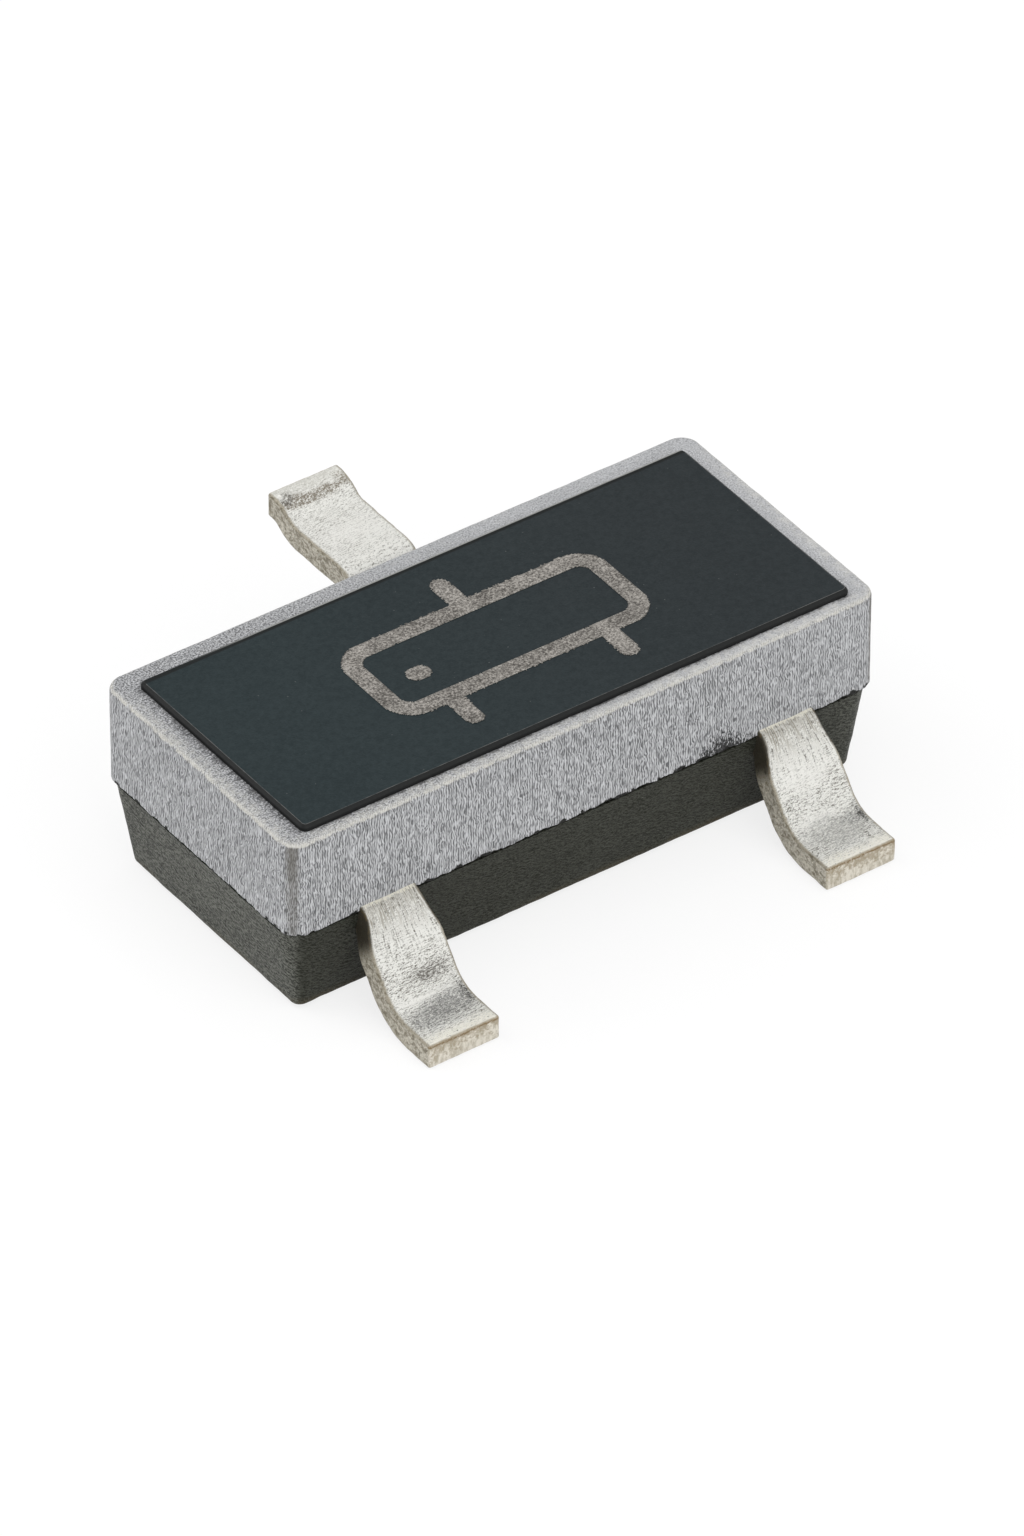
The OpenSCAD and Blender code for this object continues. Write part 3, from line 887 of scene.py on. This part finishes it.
torn = shell.node(
    "ShaderNodeTexNoise",
    {"noise_dimensions": "4D"},
    {"Vector": place, "W": put["Seed"], "Scale": 1 / put["RaggedSize"], "Detail": 3.0, "Roughness": 0.7},
)
near_edge = 1 - (abs(place.split()[2] - put["RaggedHeight"]) / put["RaggedReach"]).least(1.0)
lift = place.node("ShaderNodeCombineXYZ", None, {2: (torn - 0.4).most(0.0) * near_edge * put["Ragged"]})
shell = shell.node("GeometryNodeSetPosition", None, {"Geometry": shell, "Offset": lift})
end_tree(moulding, shell, put["Material"])
print("the moulding rule has", len(moulding.nodes), "nodes")

# %% [markdown]
# ## Drawing a section
#
# A section is a short list of corners with a radius at each one. The helper turns every rounded corner into
# an arc and adds points along the straight stretches, so that the swept surface has room for fine wear.

# %% Sections as curves
ARC_POINTS = 9


def rounded_line(corners, radii, step):
    """Points along an open line whose inner corners are arcs."""
    found = [Vector(corners[0])]
    for before, corner, after, radius in zip(corners, corners[1:], corners[2:], radii):
        corner = Vector(corner)
        to_before = (Vector(before) - corner).normalized()
        to_after = (Vector(after) - corner).normalized()
        half = to_before.angle(to_after) / 2
        centre = corner + (to_before + to_after).normalized() * radius / math.sin(half)
        start = corner + to_before * radius / math.tan(half) - centre
        end = corner + to_after * radius / math.tan(half) - centre
        sweep = math.pi - 2 * half
        for i in range(ARC_POINTS):
            turn = sweep * i / (ARC_POINTS - 1)
            found.append(centre + (start * math.sin(sweep - turn) + end * math.sin(turn)) / math.sin(sweep))
    found.append(Vector(corners[-1]))
    line = [found[0]]
    for point in found[1:]:
        count = max(1, round((point - line[-1]).length / step))
        first = line[-1]
        line.extend(first.lerp(point, i / count) for i in range(1, count + 1))
    return line


def line_curve(name, lines):
    """A curve object of straight pieces through the points of each line."""
    data = bpy.data.curves.new(name, "CURVE")
    data.dimensions = "3D"
    for points in lines:
        spline = data.splines.new("POLY")
        spline.points.add(len(points) - 1)
        for slot, point in zip(spline.points, points):
            slot.co = (*point, 1.0)
    curve = bpy.data.objects.new(name, data)
    bpy.context.scene.collection.objects.link(curve)
    return curve


def moulded_piece(name, low, high, corner, corners, radii, step, wear, material):
    """One moulding: the section's corners are (inset, height) in metres."""
    line = rounded_line([Vector((-inset, -height, 0)) for inset, height in corners], radii, step)
    section = line_curve(name + "_section", [line])
    piece = grow(
        name, moulding, Length=high.x - low.x, Width=high.y - low.y, Corner=corner, Spacing=step,
        Section=section, Material=material, **wear,
    )
    bpy.data.objects.remove(section)
    middle = (low + high) / 2
    piece.data.transform(Matrix.Translation((middle.x, middle.y, 0)))
    report(piece, close_shell(piece))
    return piece


print("sections are lines with arcs")

# %% [markdown]
# ## The two halves and the plate
#
# The upper half has a rounded rim and a much smaller radius at the parting line, where it overhangs the
# lower half by a hair. The lower half leans in towards its underside. The plate is chamfered, and its top
# lies lower by the height of the etched mark, so that the mark ends level with the frame's own top.

# %% Make the mouldings
UPPER_CORNER = 0.09 * MM
RIM_RADIUS = 0.03 * MM
SEAM_RADIUS = 0.012 * MM
LOWER_CORNER = 0.12 * MM
LOWER_DRAFT = math.radians(9.5)
BASE_RADIUS = 0.03 * MM
PLATE_CORNER = 0.03 * MM
PLATE_CHAMFER = 0.014 * MM
ETCH_HEIGHT = 0.0015 * MM
LOWER_TOP_RADIUS = 0.004 * MM
PLATE_FOOT_RADIUS = 0.002 * MM
PLATE_EDGE_RADIUS = 0.006 * MM
FINE_STEP = 0.011 * MM
INNER_SHARE = 0.85


def surface_wear(wander, wander_size, seed, ragged=0.0):
    """How far a surface wanders and over what size, and how ragged it is at the parting line."""
    return dict(
        Wander=wander, WanderSize=wander_size, Seed=seed, Ragged=ragged, RaggedSize=0.05 * MM,
        RaggedHeight=parting_z, RaggedReach=0.02 * MM,
    )


upper_inner = UPPER_CORNER * INNER_SHARE
upper_body = moulded_piece(
    "upper_half", upper_low, upper_high, UPPER_CORNER,
    [(upper_inner, parting_z), (0, parting_z), (0, rim_z), (upper_inner, rim_z)],
    [SEAM_RADIUS, RIM_RADIUS], FINE_STEP,
    surface_wear(0.006 * MM, 0.12 * MM, 1.0, ragged=0.09 * MM), pale_finish,
)
lower_inset = (lower_high.z - lower_low.z) * math.tan(LOWER_DRAFT)
lower_inner = lower_inset + (LOWER_CORNER - lower_inset) * INNER_SHARE
lower_body = moulded_piece(
    "lower_half", lower_low, lower_high, LOWER_CORNER,
    [(lower_inner, lower_low.z), (lower_inset, lower_low.z), (0, lower_high.z), (lower_inner, lower_high.z)],
    [BASE_RADIUS, LOWER_TOP_RADIUS], FINE_STEP,
    surface_wear(0.008 * MM, 0.1 * MM, 2.0), dark_finish,
)
plate_inner = PLATE_CORNER * INNER_SHARE
plate_top = plate_high.z - ETCH_HEIGHT
top_plate = moulded_piece(
    "raised_plate", plate_low, plate_high, PLATE_CORNER,
    [
        (plate_inner, plate_low.z), (0, plate_low.z), (0, plate_top - PLATE_CHAMFER),
        (PLATE_CHAMFER, plate_top), (plate_inner, plate_top),
    ],
    [PLATE_FOOT_RADIUS, PLATE_EDGE_RADIUS, PLATE_EDGE_RADIUS], FINE_STEP,
    surface_wear(0.003 * MM, 0.15 * MM, 3.0), slate_finish,
)

# %% [markdown]
# ## A strip bent along a path
#
# A lead is a flat bar that a forming tool bent. The rule makes a bar with rounded edges, then lays it along
# a path: each point finds the place and direction of the path at its own length. The root is narrower and
# widens outside the body. The bonding post or paddle inside the body is a plain plate joined to it.

# %% The rule for leads
strip_rule, put = new_tree(
    "formed_strip", Path="Object", Across="Vector", Width="Float", Length="Float", Thickness="Float",
    Edge="Float", CountX="Int", CountY="Int", CountZ="Int", RootShare="Float", FlareStart="Float",
    FlareEnd="Float", Tail="Float", Wander="Float", WanderSize="Float", Seed="Float", PostSize="Vector",
    PostPlace="Vector", Material="Material",
)
size = add_node(
    strip_rule, "ShaderNodeCombineXYZ", None, {0: put["Width"], 1: put["Length"], 2: put["Thickness"]}
)
bar = size.node(
    "GeometryNodeMeshCube",
    None,
    {"Size": size, "Vertices X": put["CountX"], "Vertices Y": put["CountY"], "Vertices Z": put["CountZ"]},
)
place = bar.node("GeometryNodeInputPosition")
edge = bar.node("ShaderNodeCombineXYZ", None, {0: put["Edge"], 1: put["Edge"], 2: put["Edge"]})
core = size.vector("MULTIPLY", (0.5, 0.5, 0.5)).vector("SUBTRACT", edge)
inside = place.vector("MAXIMUM", core.vector("MULTIPLY", (-1, -1, -1))).vector("MINIMUM", core)
outward = place.vector("SUBTRACT", inside).vector("NORMALIZE")
softened = inside.vector("ADD", outward.vector("MULTIPLY", edge))
across, along, level = softened.split()
travelled = along + put["Length"] * 0.5
path = bar.node("GeometryNodeObjectInfo", None, {"Object": put["Path"]}, "Geometry")
on_path, heading = (
    path.node("GeometryNodeSampleCurve", {"mode": "LENGTH"}, {"Curves": path, "Length": travelled}, name)
    for name in ("Position", "Tangent")
)
rise = heading.vector("CROSS_PRODUCT", put["Across"]).vector("NORMALIZE")
from_middle = abs(on_path.split()[1])
share = put["RootShare"] + (1 - put["RootShare"]) * from_middle.smooth(put["FlareStart"], put["FlareEnd"])
bent = on_path.vector("ADD", put["Across"].scaled(across * share)).vector("ADD", rise.scaled(level))
marked = bar
for name, value in (("along", travelled - put["Tail"]), ("across", across), ("level", level)):
    marked = marked.node(
        "GeometryNodeStoreNamedAttribute",
        {"data_type": "FLOAT", "domain": "POINT"},
        {"Geometry": marked, "Name": name, "Value": value * (1 / MM)},
    )
formed = marked.node("GeometryNodeSetPosition", None, {"Geometry": marked, "Position": bent})
wander = formed.node(
    "ShaderNodeTexNoise",
    {"noise_dimensions": "4D"},
    {
        "Vector": formed.node("GeometryNodeInputPosition"), "W": put["Seed"], "Scale": 1 / put["WanderSize"],
        "Detail": 3.0, "Roughness": 0.6,
    },
)
hair = formed.node("GeometryNodeInputNormal").scaled((0.8 - wander).most(0.0) * put["Wander"])
formed = formed.node("GeometryNodeSetPosition", None, {"Geometry": formed, "Offset": hair})
post = formed.node("GeometryNodeMeshCube", None, {"Size": put["PostSize"]})
post = post.node("GeometryNodeTransform", None, {"Geometry": post, "Translation": put["PostPlace"]})
end_tree(strip_rule, joined(strip_rule, formed, post), put["Material"])
print("the strip rule has", len(strip_rule.nodes), "nodes")

# %% [markdown]
# ## Bending the leads
#
# The path of a lead is its middle line, seen from the side: out of the body, round each bend, to the tip.
# The two near leads step down to feet on the table. The far one is bent up beside the body and ends in a
# shelf with a small raised lip, as the photograph shows it.

# %% Make the leads
LEAD_STUB = 0.01 * MM
ROOT_ARC = 0.075 * MM
FOOT_ARC = 0.24 * MM
FOOT_SLOPE = math.radians(54)
BEND_INSET = 0.05 * MM
COLLECTOR_SLOPE = math.radians(85)
LIP_LENGTH = 0.07 * MM
LIP_RISE = 0.06 * MM
LIP_SLOPE = math.radians(32)
LIP_ARC = 0.14 * MM
ROOT_WIDTH = 0.28
FLARE_START = -0.01 * MM
FLARE_END = 0.10 * MM
LEAD_EDGE = 0.014 * MM
LEAD_STEP = 0.0065 * MM
LEAD_WANDER = 0.009 * MM
LEAD_WANDER_SIZE = 0.09 * MM
POST_SETBACK = 0.18 * MM
POST_DEPTH = 0.32 * MM
POST_SHIFT = 0.10 * MM
PADDLE_DEPTH = 0.70 * MM
half_sheet = HALF_THICKNESS * MM
sheet_mid = base_high.z - half_sheet


def path_length(points):
    return sum((b - a).length for a, b in zip(points, points[1:]))


def lead(name, middle_x, outward_sign, corners, arcs, post_size, post_place, seed, marks, wear, cream):
    """One lead: corners are (distance out from the body's side, height) of the middle line, in metres."""
    tail = POST_SETBACK
    places = [
        Vector((middle_x, outward_sign * (side_y + out), height))
        for out, height in [(-tail, sheet_mid), *corners]
    ]
    points = rounded_line(places, arcs, LEAD_STEP)
    length = path_length(points)
    path = line_curve(name + "_path", [points])
    outside = (length - tail) / MM
    material = tinned_lead(name + "_tin", outside, marks, seed * 10.0, wear, cream)
    piece = grow(
        name, strip_rule, Path=path, Across=(-outward_sign, 0, 0), Width=LEAD_WIDTH * MM, Length=length,
        Thickness=2 * half_sheet, Edge=LEAD_EDGE, CountX=round(LEAD_WIDTH * MM / LEAD_STEP),
        CountY=round(length / LEAD_STEP), CountZ=round(2 * half_sheet / LEAD_STEP),
        RootShare=ROOT_WIDTH / LEAD_WIDTH, FlareStart=side_y + FLARE_START, FlareEnd=side_y + FLARE_END,
        Tail=tail, Wander=LEAD_WANDER, WanderSize=LEAD_WANDER_SIZE, Seed=seed, PostSize=post_size,
        PostPlace=post_place, Material=material,
    )
    bpy.data.objects.remove(path)
    report(piece, close_shell(piece))
    print(name, "is", round(outside, 3), "mm long outside the body")
    return piece


def near_lead(name, low, high, seed, marks):
    side = -1 if low.x < 0 else 1
    outer = low.x if side < 0 else high.x
    inner = high.x if side < 0 else low.x
    middle_x = outer - side * HALF_WIDTH * MM
    drop = sheet_mid - half_sheet
    first = ROOT_ARC * math.tan(FOOT_SLOPE / 2) - BEND_INSET
    second = first + drop / math.tan(FOOT_SLOPE)
    reach = -low.y - side_y
    corners = [(first, sheet_mid), (second, half_sheet), (reach, half_sheet)]
    post_size = (2 * (abs(middle_x) - POST_SHIFT - abs(inner)), POST_DEPTH, 2 * half_sheet)
    post_place = (middle_x - side * POST_SHIFT, -side_y + POST_SETBACK + POST_DEPTH / 2, sheet_mid)
    return lead(
        name, middle_x, -1, corners, [ROOT_ARC, FOOT_ARC], post_size, post_place, seed, marks,
        wear=1.0, cream=0.8,
    )


def far_lead(name, low, high, seed, marks):
    top_mid = high.z - half_sheet
    shelf_mid = top_mid - LIP_RISE
    first = LEAD_STUB + ROOT_ARC * math.tan(COLLECTOR_SLOPE / 2)
    second = first + (shelf_mid - sheet_mid) / math.tan(COLLECTOR_SLOPE)
    reach = high.y - side_y
    lip = reach - LIP_LENGTH
    ramp = lip - LIP_RISE / math.tan(LIP_SLOPE)
    corners = [
        (first, sheet_mid), (second, shelf_mid), (ramp, shelf_mid), (lip, top_mid), (reach, top_mid),
    ]
    paddle_size = (high.x - low.x, PADDLE_DEPTH, 2 * half_sheet)
    paddle_place = (0, side_y - POST_SETBACK - PADDLE_DEPTH / 2, sheet_mid)
    return lead(
        name, 0.0, 1, corners, [ROOT_ARC, ROOT_ARC, LIP_ARC, LIP_ARC], paddle_size, paddle_place, seed, marks,
        wear=0.65, cream=0.15,
    )


GREY_SMEAR = colour(0.19, 0.188, 0.18)
PALE_SMEAR = colour(0.34, 0.338, 0.32)
WORM_SMEAR = colour(0.11, 0.10, 0.085)
# rubbed bright tin with a painted highlight, laid where the leads bend
BRIGHT_RUB_AND_HIGHLIGHT = colour(0.84, 0.83, 0.79)
# painted shade, brown, for the crease before the far lead's lip
BROWN_GROOVE_SHADE = colour(0.21, 0.185, 0.145)
COOL_RUB = colour(0.52, 0.515, 0.475)
DARK_NICK = colour(0.05, 0.048, 0.042)
base_lead = near_lead(
    "left_lead", base_low, base_high, 1.0,
    [
        (0.30, 0.06, 0.04, 0.13, 0.85, WORM_SMEAR),
        # rubbed tin with a painted highlight where the foot's bend ends
        (0.405, 0.018, -0.03, 0.16, 0.7, BRIGHT_RUB_AND_HIGHLIGHT),
        (0.50, 0.11, 0.08, 0.17, 0.9, GREY_SMEAR),
        (0.53, 0.09, -0.06, 0.15, 0.8, GREY_SMEAR),
        (0.47, 0.10, 0.148, 0.022, 0.8, DARK_NICK),
    ],
)
emitter_lead = near_lead(
    "right_lead", emitter_low, emitter_high, 2.0,
    [
        # rubbed tin with painted highlights on the foot's bend and where it ends
        (0.20, 0.06, 0.02, 0.15, 0.4, BRIGHT_RUB_AND_HIGHLIGHT),
        (0.39, 0.03, -0.02, 0.17, 0.6, BRIGHT_RUB_AND_HIGHLIGHT),
        (0.50, 0.13, 0.02, 0.22, 0.7, PALE_SMEAR),
        (0.46, 0.07, 0.13, 0.09, 0.7, GREY_SMEAR),
        (0.46, 0.09, 0.148, 0.022, 0.95, DARK_NICK),
    ],
)
collector_lead = far_lead(
    "far_lead", collector_low, collector_high, 3.0,
    [
        # rubbed tin with a painted highlight over the upper bend
        (0.60, 0.12, 0.0, 0.20, 0.3, BRIGHT_RUB_AND_HIGHLIGHT),
        (0.93, 0.07, 0.0, 0.28, 0.8, COOL_RUB),
        # painted shade, brown, in the crease before the lip
        (0.862, 0.026, 0.0, 0.45, 0.95, BROWN_GROOVE_SHADE),
        (0.875, 0.045, -0.15, 0.06, 0.8, BROWN_GROOVE_SHADE),
        (0.885, 0.032, 0.14, 0.04, 0.95, WORM_SMEAR),
        (0.90, 0.016, 0.148, 0.018, 1.0, BRIGHT_RUB_AND_HIGHLIGHT),
    ],
)

# %% [markdown]
# ## The etched mark
#
# A laser leaves a pale, grainy line on a dark plate. It could be painted on by a mask, but a thin slab of
# its own keeps a crisp border at any size. Its finish is coarse grain between a dark and a pale beige.

# %% Etched finish
def etched_mark():
    finish = Finish("etched_mark", {"Specular IOR Level": 0.3})
    grain = finish.noise(125.0, 2.0, 0.7)
    cloud = finish.noise(9.0, shift=6.0)
    tone = (grain - 0.5) * 1.7 + (cloud - 0.5) * 0.4 + 0.40
    finish.coat(tone.smooth(0.05, 0.95), colour(0.055, 0.050, 0.043), colour(0.52, 0.49, 0.45))
    finish.feed("Base Color", finish.shade)
    finish.feed("Roughness", 0.6 + (grain - 0.5) * 0.3)
    finish.feed("Normal", finish.bump(grain, 0.004))
    return finish.material


etched_finish = etched_mark()
print("the etched mark uses", len(etched_finish.node_tree.nodes), "nodes")

# %% [markdown]
# ## Strokes from a grid
#
# Swept strokes would overlap where they meet. So the rule lays a fine grid over the plate and keeps only
# the cells that lie within half a line's width of the drawing. Strokes then join cleanly and have round
# ends, and a little noise in the distance gives them slightly ragged borders.

# %% The rule for the mark
etching, put = new_tree(
    "etching", Drawing="Object", Stroke="Float", SpanX="Float", SpanY="Float", CountX="Int", CountY="Int",
    Centre="Vector", Height="Float", Fray="Float", FraySize="Float", Material="Material",
)
grid = add_node(
    etching,
    "GeometryNodeMeshGrid",
    None,
    {
        "Size X": put["SpanX"], "Size Y": put["SpanY"],
        "Vertices X": put["CountX"], "Vertices Y": put["CountY"],
    },
)
grid = grid.node("GeometryNodeTransform", None, {"Geometry": grid, "Translation": put["Centre"]})
drawing = grid.node("GeometryNodeObjectInfo", None, {"Object": put["Drawing"]}, "Geometry")
wire = grid.node("GeometryNodeCurveToMesh", None, {"Curve": drawing, "Scale": 1.0})
apart = grid.node("GeometryNodeProximity", {"target_element": "EDGES"}, {0: wire}, "Distance")
fray = grid.node(
    "ShaderNodeTexNoise",
    None,
    {"Vector": grid.node("GeometryNodeInputPosition"), "Scale": 1 / put["FraySize"], "Detail": 2.0},
)
outside = (apart + (fray - 0.5) * put["Fray"]).above(put["Stroke"] * 0.5)
mark = grid.node("GeometryNodeDeleteGeometry", {"domain": "FACE"}, {"Geometry": grid, "Selection": outside})
raised = mark.node(
    "GeometryNodeExtrudeMesh",
    {"mode": "FACES"},
    {"Mesh": mark, "Offset": (0, 0, 1), "Offset Scale": put["Height"], "Individual": False},
)
under = mark.node("GeometryNodeFlipFaces", None, {0: mark})
end_tree(etching, joined(etching, raised, under), put["Material"])
print("the etching rule has", len(etching.nodes), "nodes")

# %% [markdown]
# ## The pin diagram
#
# The mark is a plain pin diagram: a rounded body, three legs where the leads are, and a dot. It is drawn
# round the origin and carried to the middle of the plate.

# %% Draw the symbol
STROKE = 0.085 * MM
DIAGRAM_HALF_X = 0.60 * MM
DIAGRAM_HALF_Y = 0.22 * MM
DIAGRAM_CORNER = 0.10 * MM
DIAGRAM_LEG = 0.17 * MM
DIAGRAM_PITCH = 0.38 * MM
DOT_PLACE = Vector((-0.40 * MM, -0.03 * MM, 0))
DOT_HALF = 0.012 * MM
CORNER_POINTS = 10
SPAN_X = 1.5 * MM
SPAN_Y = 1.1 * MM
ETCH_STEP = 0.006 * MM
FRAY = 0.005 * MM
FRAY_SIZE = 0.012 * MM


def diagram_lines():
    """Strokes of a pin diagram round the origin: a rounded body, three legs and a dot."""
    body = []
    middle_x = DIAGRAM_HALF_X - DIAGRAM_CORNER
    middle_y = DIAGRAM_HALF_Y - DIAGRAM_CORNER
    for quarter, (sign_x, sign_y) in enumerate(((1, 1), (-1, 1), (-1, -1), (1, -1))):
        middle = Vector((sign_x * middle_x, sign_y * middle_y, 0))
        for i in range(CORNER_POINTS + 1):
            turn = math.pi / 2 * (quarter + i / CORNER_POINTS)
            body.append(middle + Vector((math.cos(turn), math.sin(turn), 0)) * DIAGRAM_CORNER)
    strokes = [[*body, body[0]]]
    for place, way in ((-DIAGRAM_PITCH, -1), (DIAGRAM_PITCH, -1), (0, 1)):
        start = Vector((place, way * DIAGRAM_HALF_Y, 0))
        strokes.append([start, start + Vector((0, way * DIAGRAM_LEG, 0))])
    strokes.append([DOT_PLACE - Vector((DOT_HALF, 0, 0)), DOT_PLACE + Vector((DOT_HALF, 0, 0))])
    return strokes


plate_middle = (plate_low + plate_high) / 2
symbol_centre = Vector((plate_middle.x, plate_middle.y, plate_top))
drawing = line_curve("symbol_drawing", [[symbol_centre + p for p in stroke] for stroke in diagram_lines()])
mark = grow(
    "etched_symbol", etching, Drawing=drawing, Stroke=STROKE, SpanX=SPAN_X, SpanY=SPAN_Y,
    CountX=round(SPAN_X / ETCH_STEP), CountY=round(SPAN_Y / ETCH_STEP), Centre=symbol_centre,
    Height=ETCH_HEIGHT, Fray=FRAY, FraySize=FRAY_SIZE, Material=etched_finish,
)
bpy.data.objects.remove(drawing)
report(mark, close_shell(mark))

# %% [markdown]
# ## Who stands for what
#
# Each dressed piece stands for one imported node, which is hidden in its place. Nothing on this
# part moves, so all of them ride on the one body.

# %% Ride on the frame
dressed = {
    "upper_body": (upper_body, "pale_moulding"),
    "lower_body": (lower_body, "dark_moulding"),
    "top_plate": (top_plate, "slate_plate"),
    "base_lead": (base_lead, "tinned_lead"),
    "emitter_lead": (emitter_lead, "tinned_lead"),
    "collector_lead": (collector_lead, "tinned_lead"),
}
for node, (piece, slot_name) in dressed.items():
    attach(piece, "root")
    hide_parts(node)
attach(mark, "root")
print("dressed pieces:", sorted(piece.name for piece, _ in dressed.values()))

# %% [markdown]
# ## The stage
#
# The picture is a catalogue shot on white with hardly any shadow. The floor is plain white; for the camera
# and for reflections part of it glows by itself, which thins the shadow without putting more light on the
# part.

# %% Floor
FLOOR_SIZE = 0.6
FLOOR_DROP = 0.001 * MM
FLOOR_GLOW = 0.80


def floor_finish():
    material = bpy.data.materials.new("white_floor")
    material.use_nodes = True
    tree = material.node_tree
    shader = tree.nodes["Principled BSDF"]
    shader.inputs["Base Color"].default_value = colour(1.0, 1.0, 1.0)
    shader.inputs["Roughness"].default_value = 0.9
    shader.inputs["Specular IOR Level"].default_value = 0.0
    camera_ray = add_node(tree, "ShaderNodeLightPath", out="Is Camera Ray")
    glossy_ray = add_node(tree, "ShaderNodeLightPath", out="Is Glossy Ray")
    clear_ray = add_node(tree, "ShaderNodeLightPath", out="Is Transmission Ray")
    seen = (camera_ray + glossy_ray + clear_ray).least(1.0)
    glow = add_node(tree, "ShaderNodeEmission", None, {"Color": colour(1, 1, 1), "Strength": 1.0})
    blend = glow.node(
        "ShaderNodeMixShader", None, {0: seen * FLOOR_GLOW, 1: Val(shader.outputs[0]), 2: glow}
    )
    tree.links.new(blend.socket, tree.nodes["Material Output"].inputs["Surface"])
    return material


sheet = bpy.data.meshes.new("floor")
half = FLOOR_SIZE / 2
edges = ((-half, -half), (half, -half), (half, half), (-half, half))
sheet.from_pydata([(x, y, -FLOOR_DROP) for x, y in edges], [], [(0, 1, 2, 3)])
floor = bpy.data.objects.new("floor", sheet)
floor.data.materials.append(floor_finish())
bpy.context.scene.collection.objects.link(floor)
print("floor", FLOOR_SIZE, "m wide")

# %% [markdown]
# ## The light
#
# Small parts are photographed in a light tent, so the room itself is white and even, and three large square
# lamps give it a direction: from above, from a window at the back left, and from the front. Together they
# give a white card about its own brightness, so a colour renders about as it is written.

# %% Lamps
WORLD_LEVEL = 0.55


def lamp(name, azimuth, elevation, distance, size, level):
    """A square soft light; level is what it adds to a white card that faces it."""
    data = bpy.data.lights.new(name, "AREA")
    data.size = size
    data.energy = level * math.pi ** 2 * distance ** 2
    axes = camera_axes(math.radians(azimuth), math.radians(elevation))
    holder = bpy.data.objects.new(name, data)
    holder.matrix_world = standing_at(axes[2] * distance, axes)
    bpy.context.scene.collection.objects.link(holder)


lamp("overhead", 0, 84, 0.20, 0.16, 0.28)
lamp("back_left_window", -140, 42, 0.20, 0.16, 0.34)
lamp("front_fill", 5, 34, 0.22, 0.18, 0.32)
world = bpy.data.worlds.new("white_room")
world.use_nodes = True
room = world.node_tree.nodes["Background"]
room.inputs["Color"].default_value = colour(1, 1, 1)
room.inputs["Strength"].default_value = WORLD_LEVEL
bpy.context.scene.world = world
bpy.context.scene.view_settings.view_transform = "Standard"
print("three lamps and an even white room")
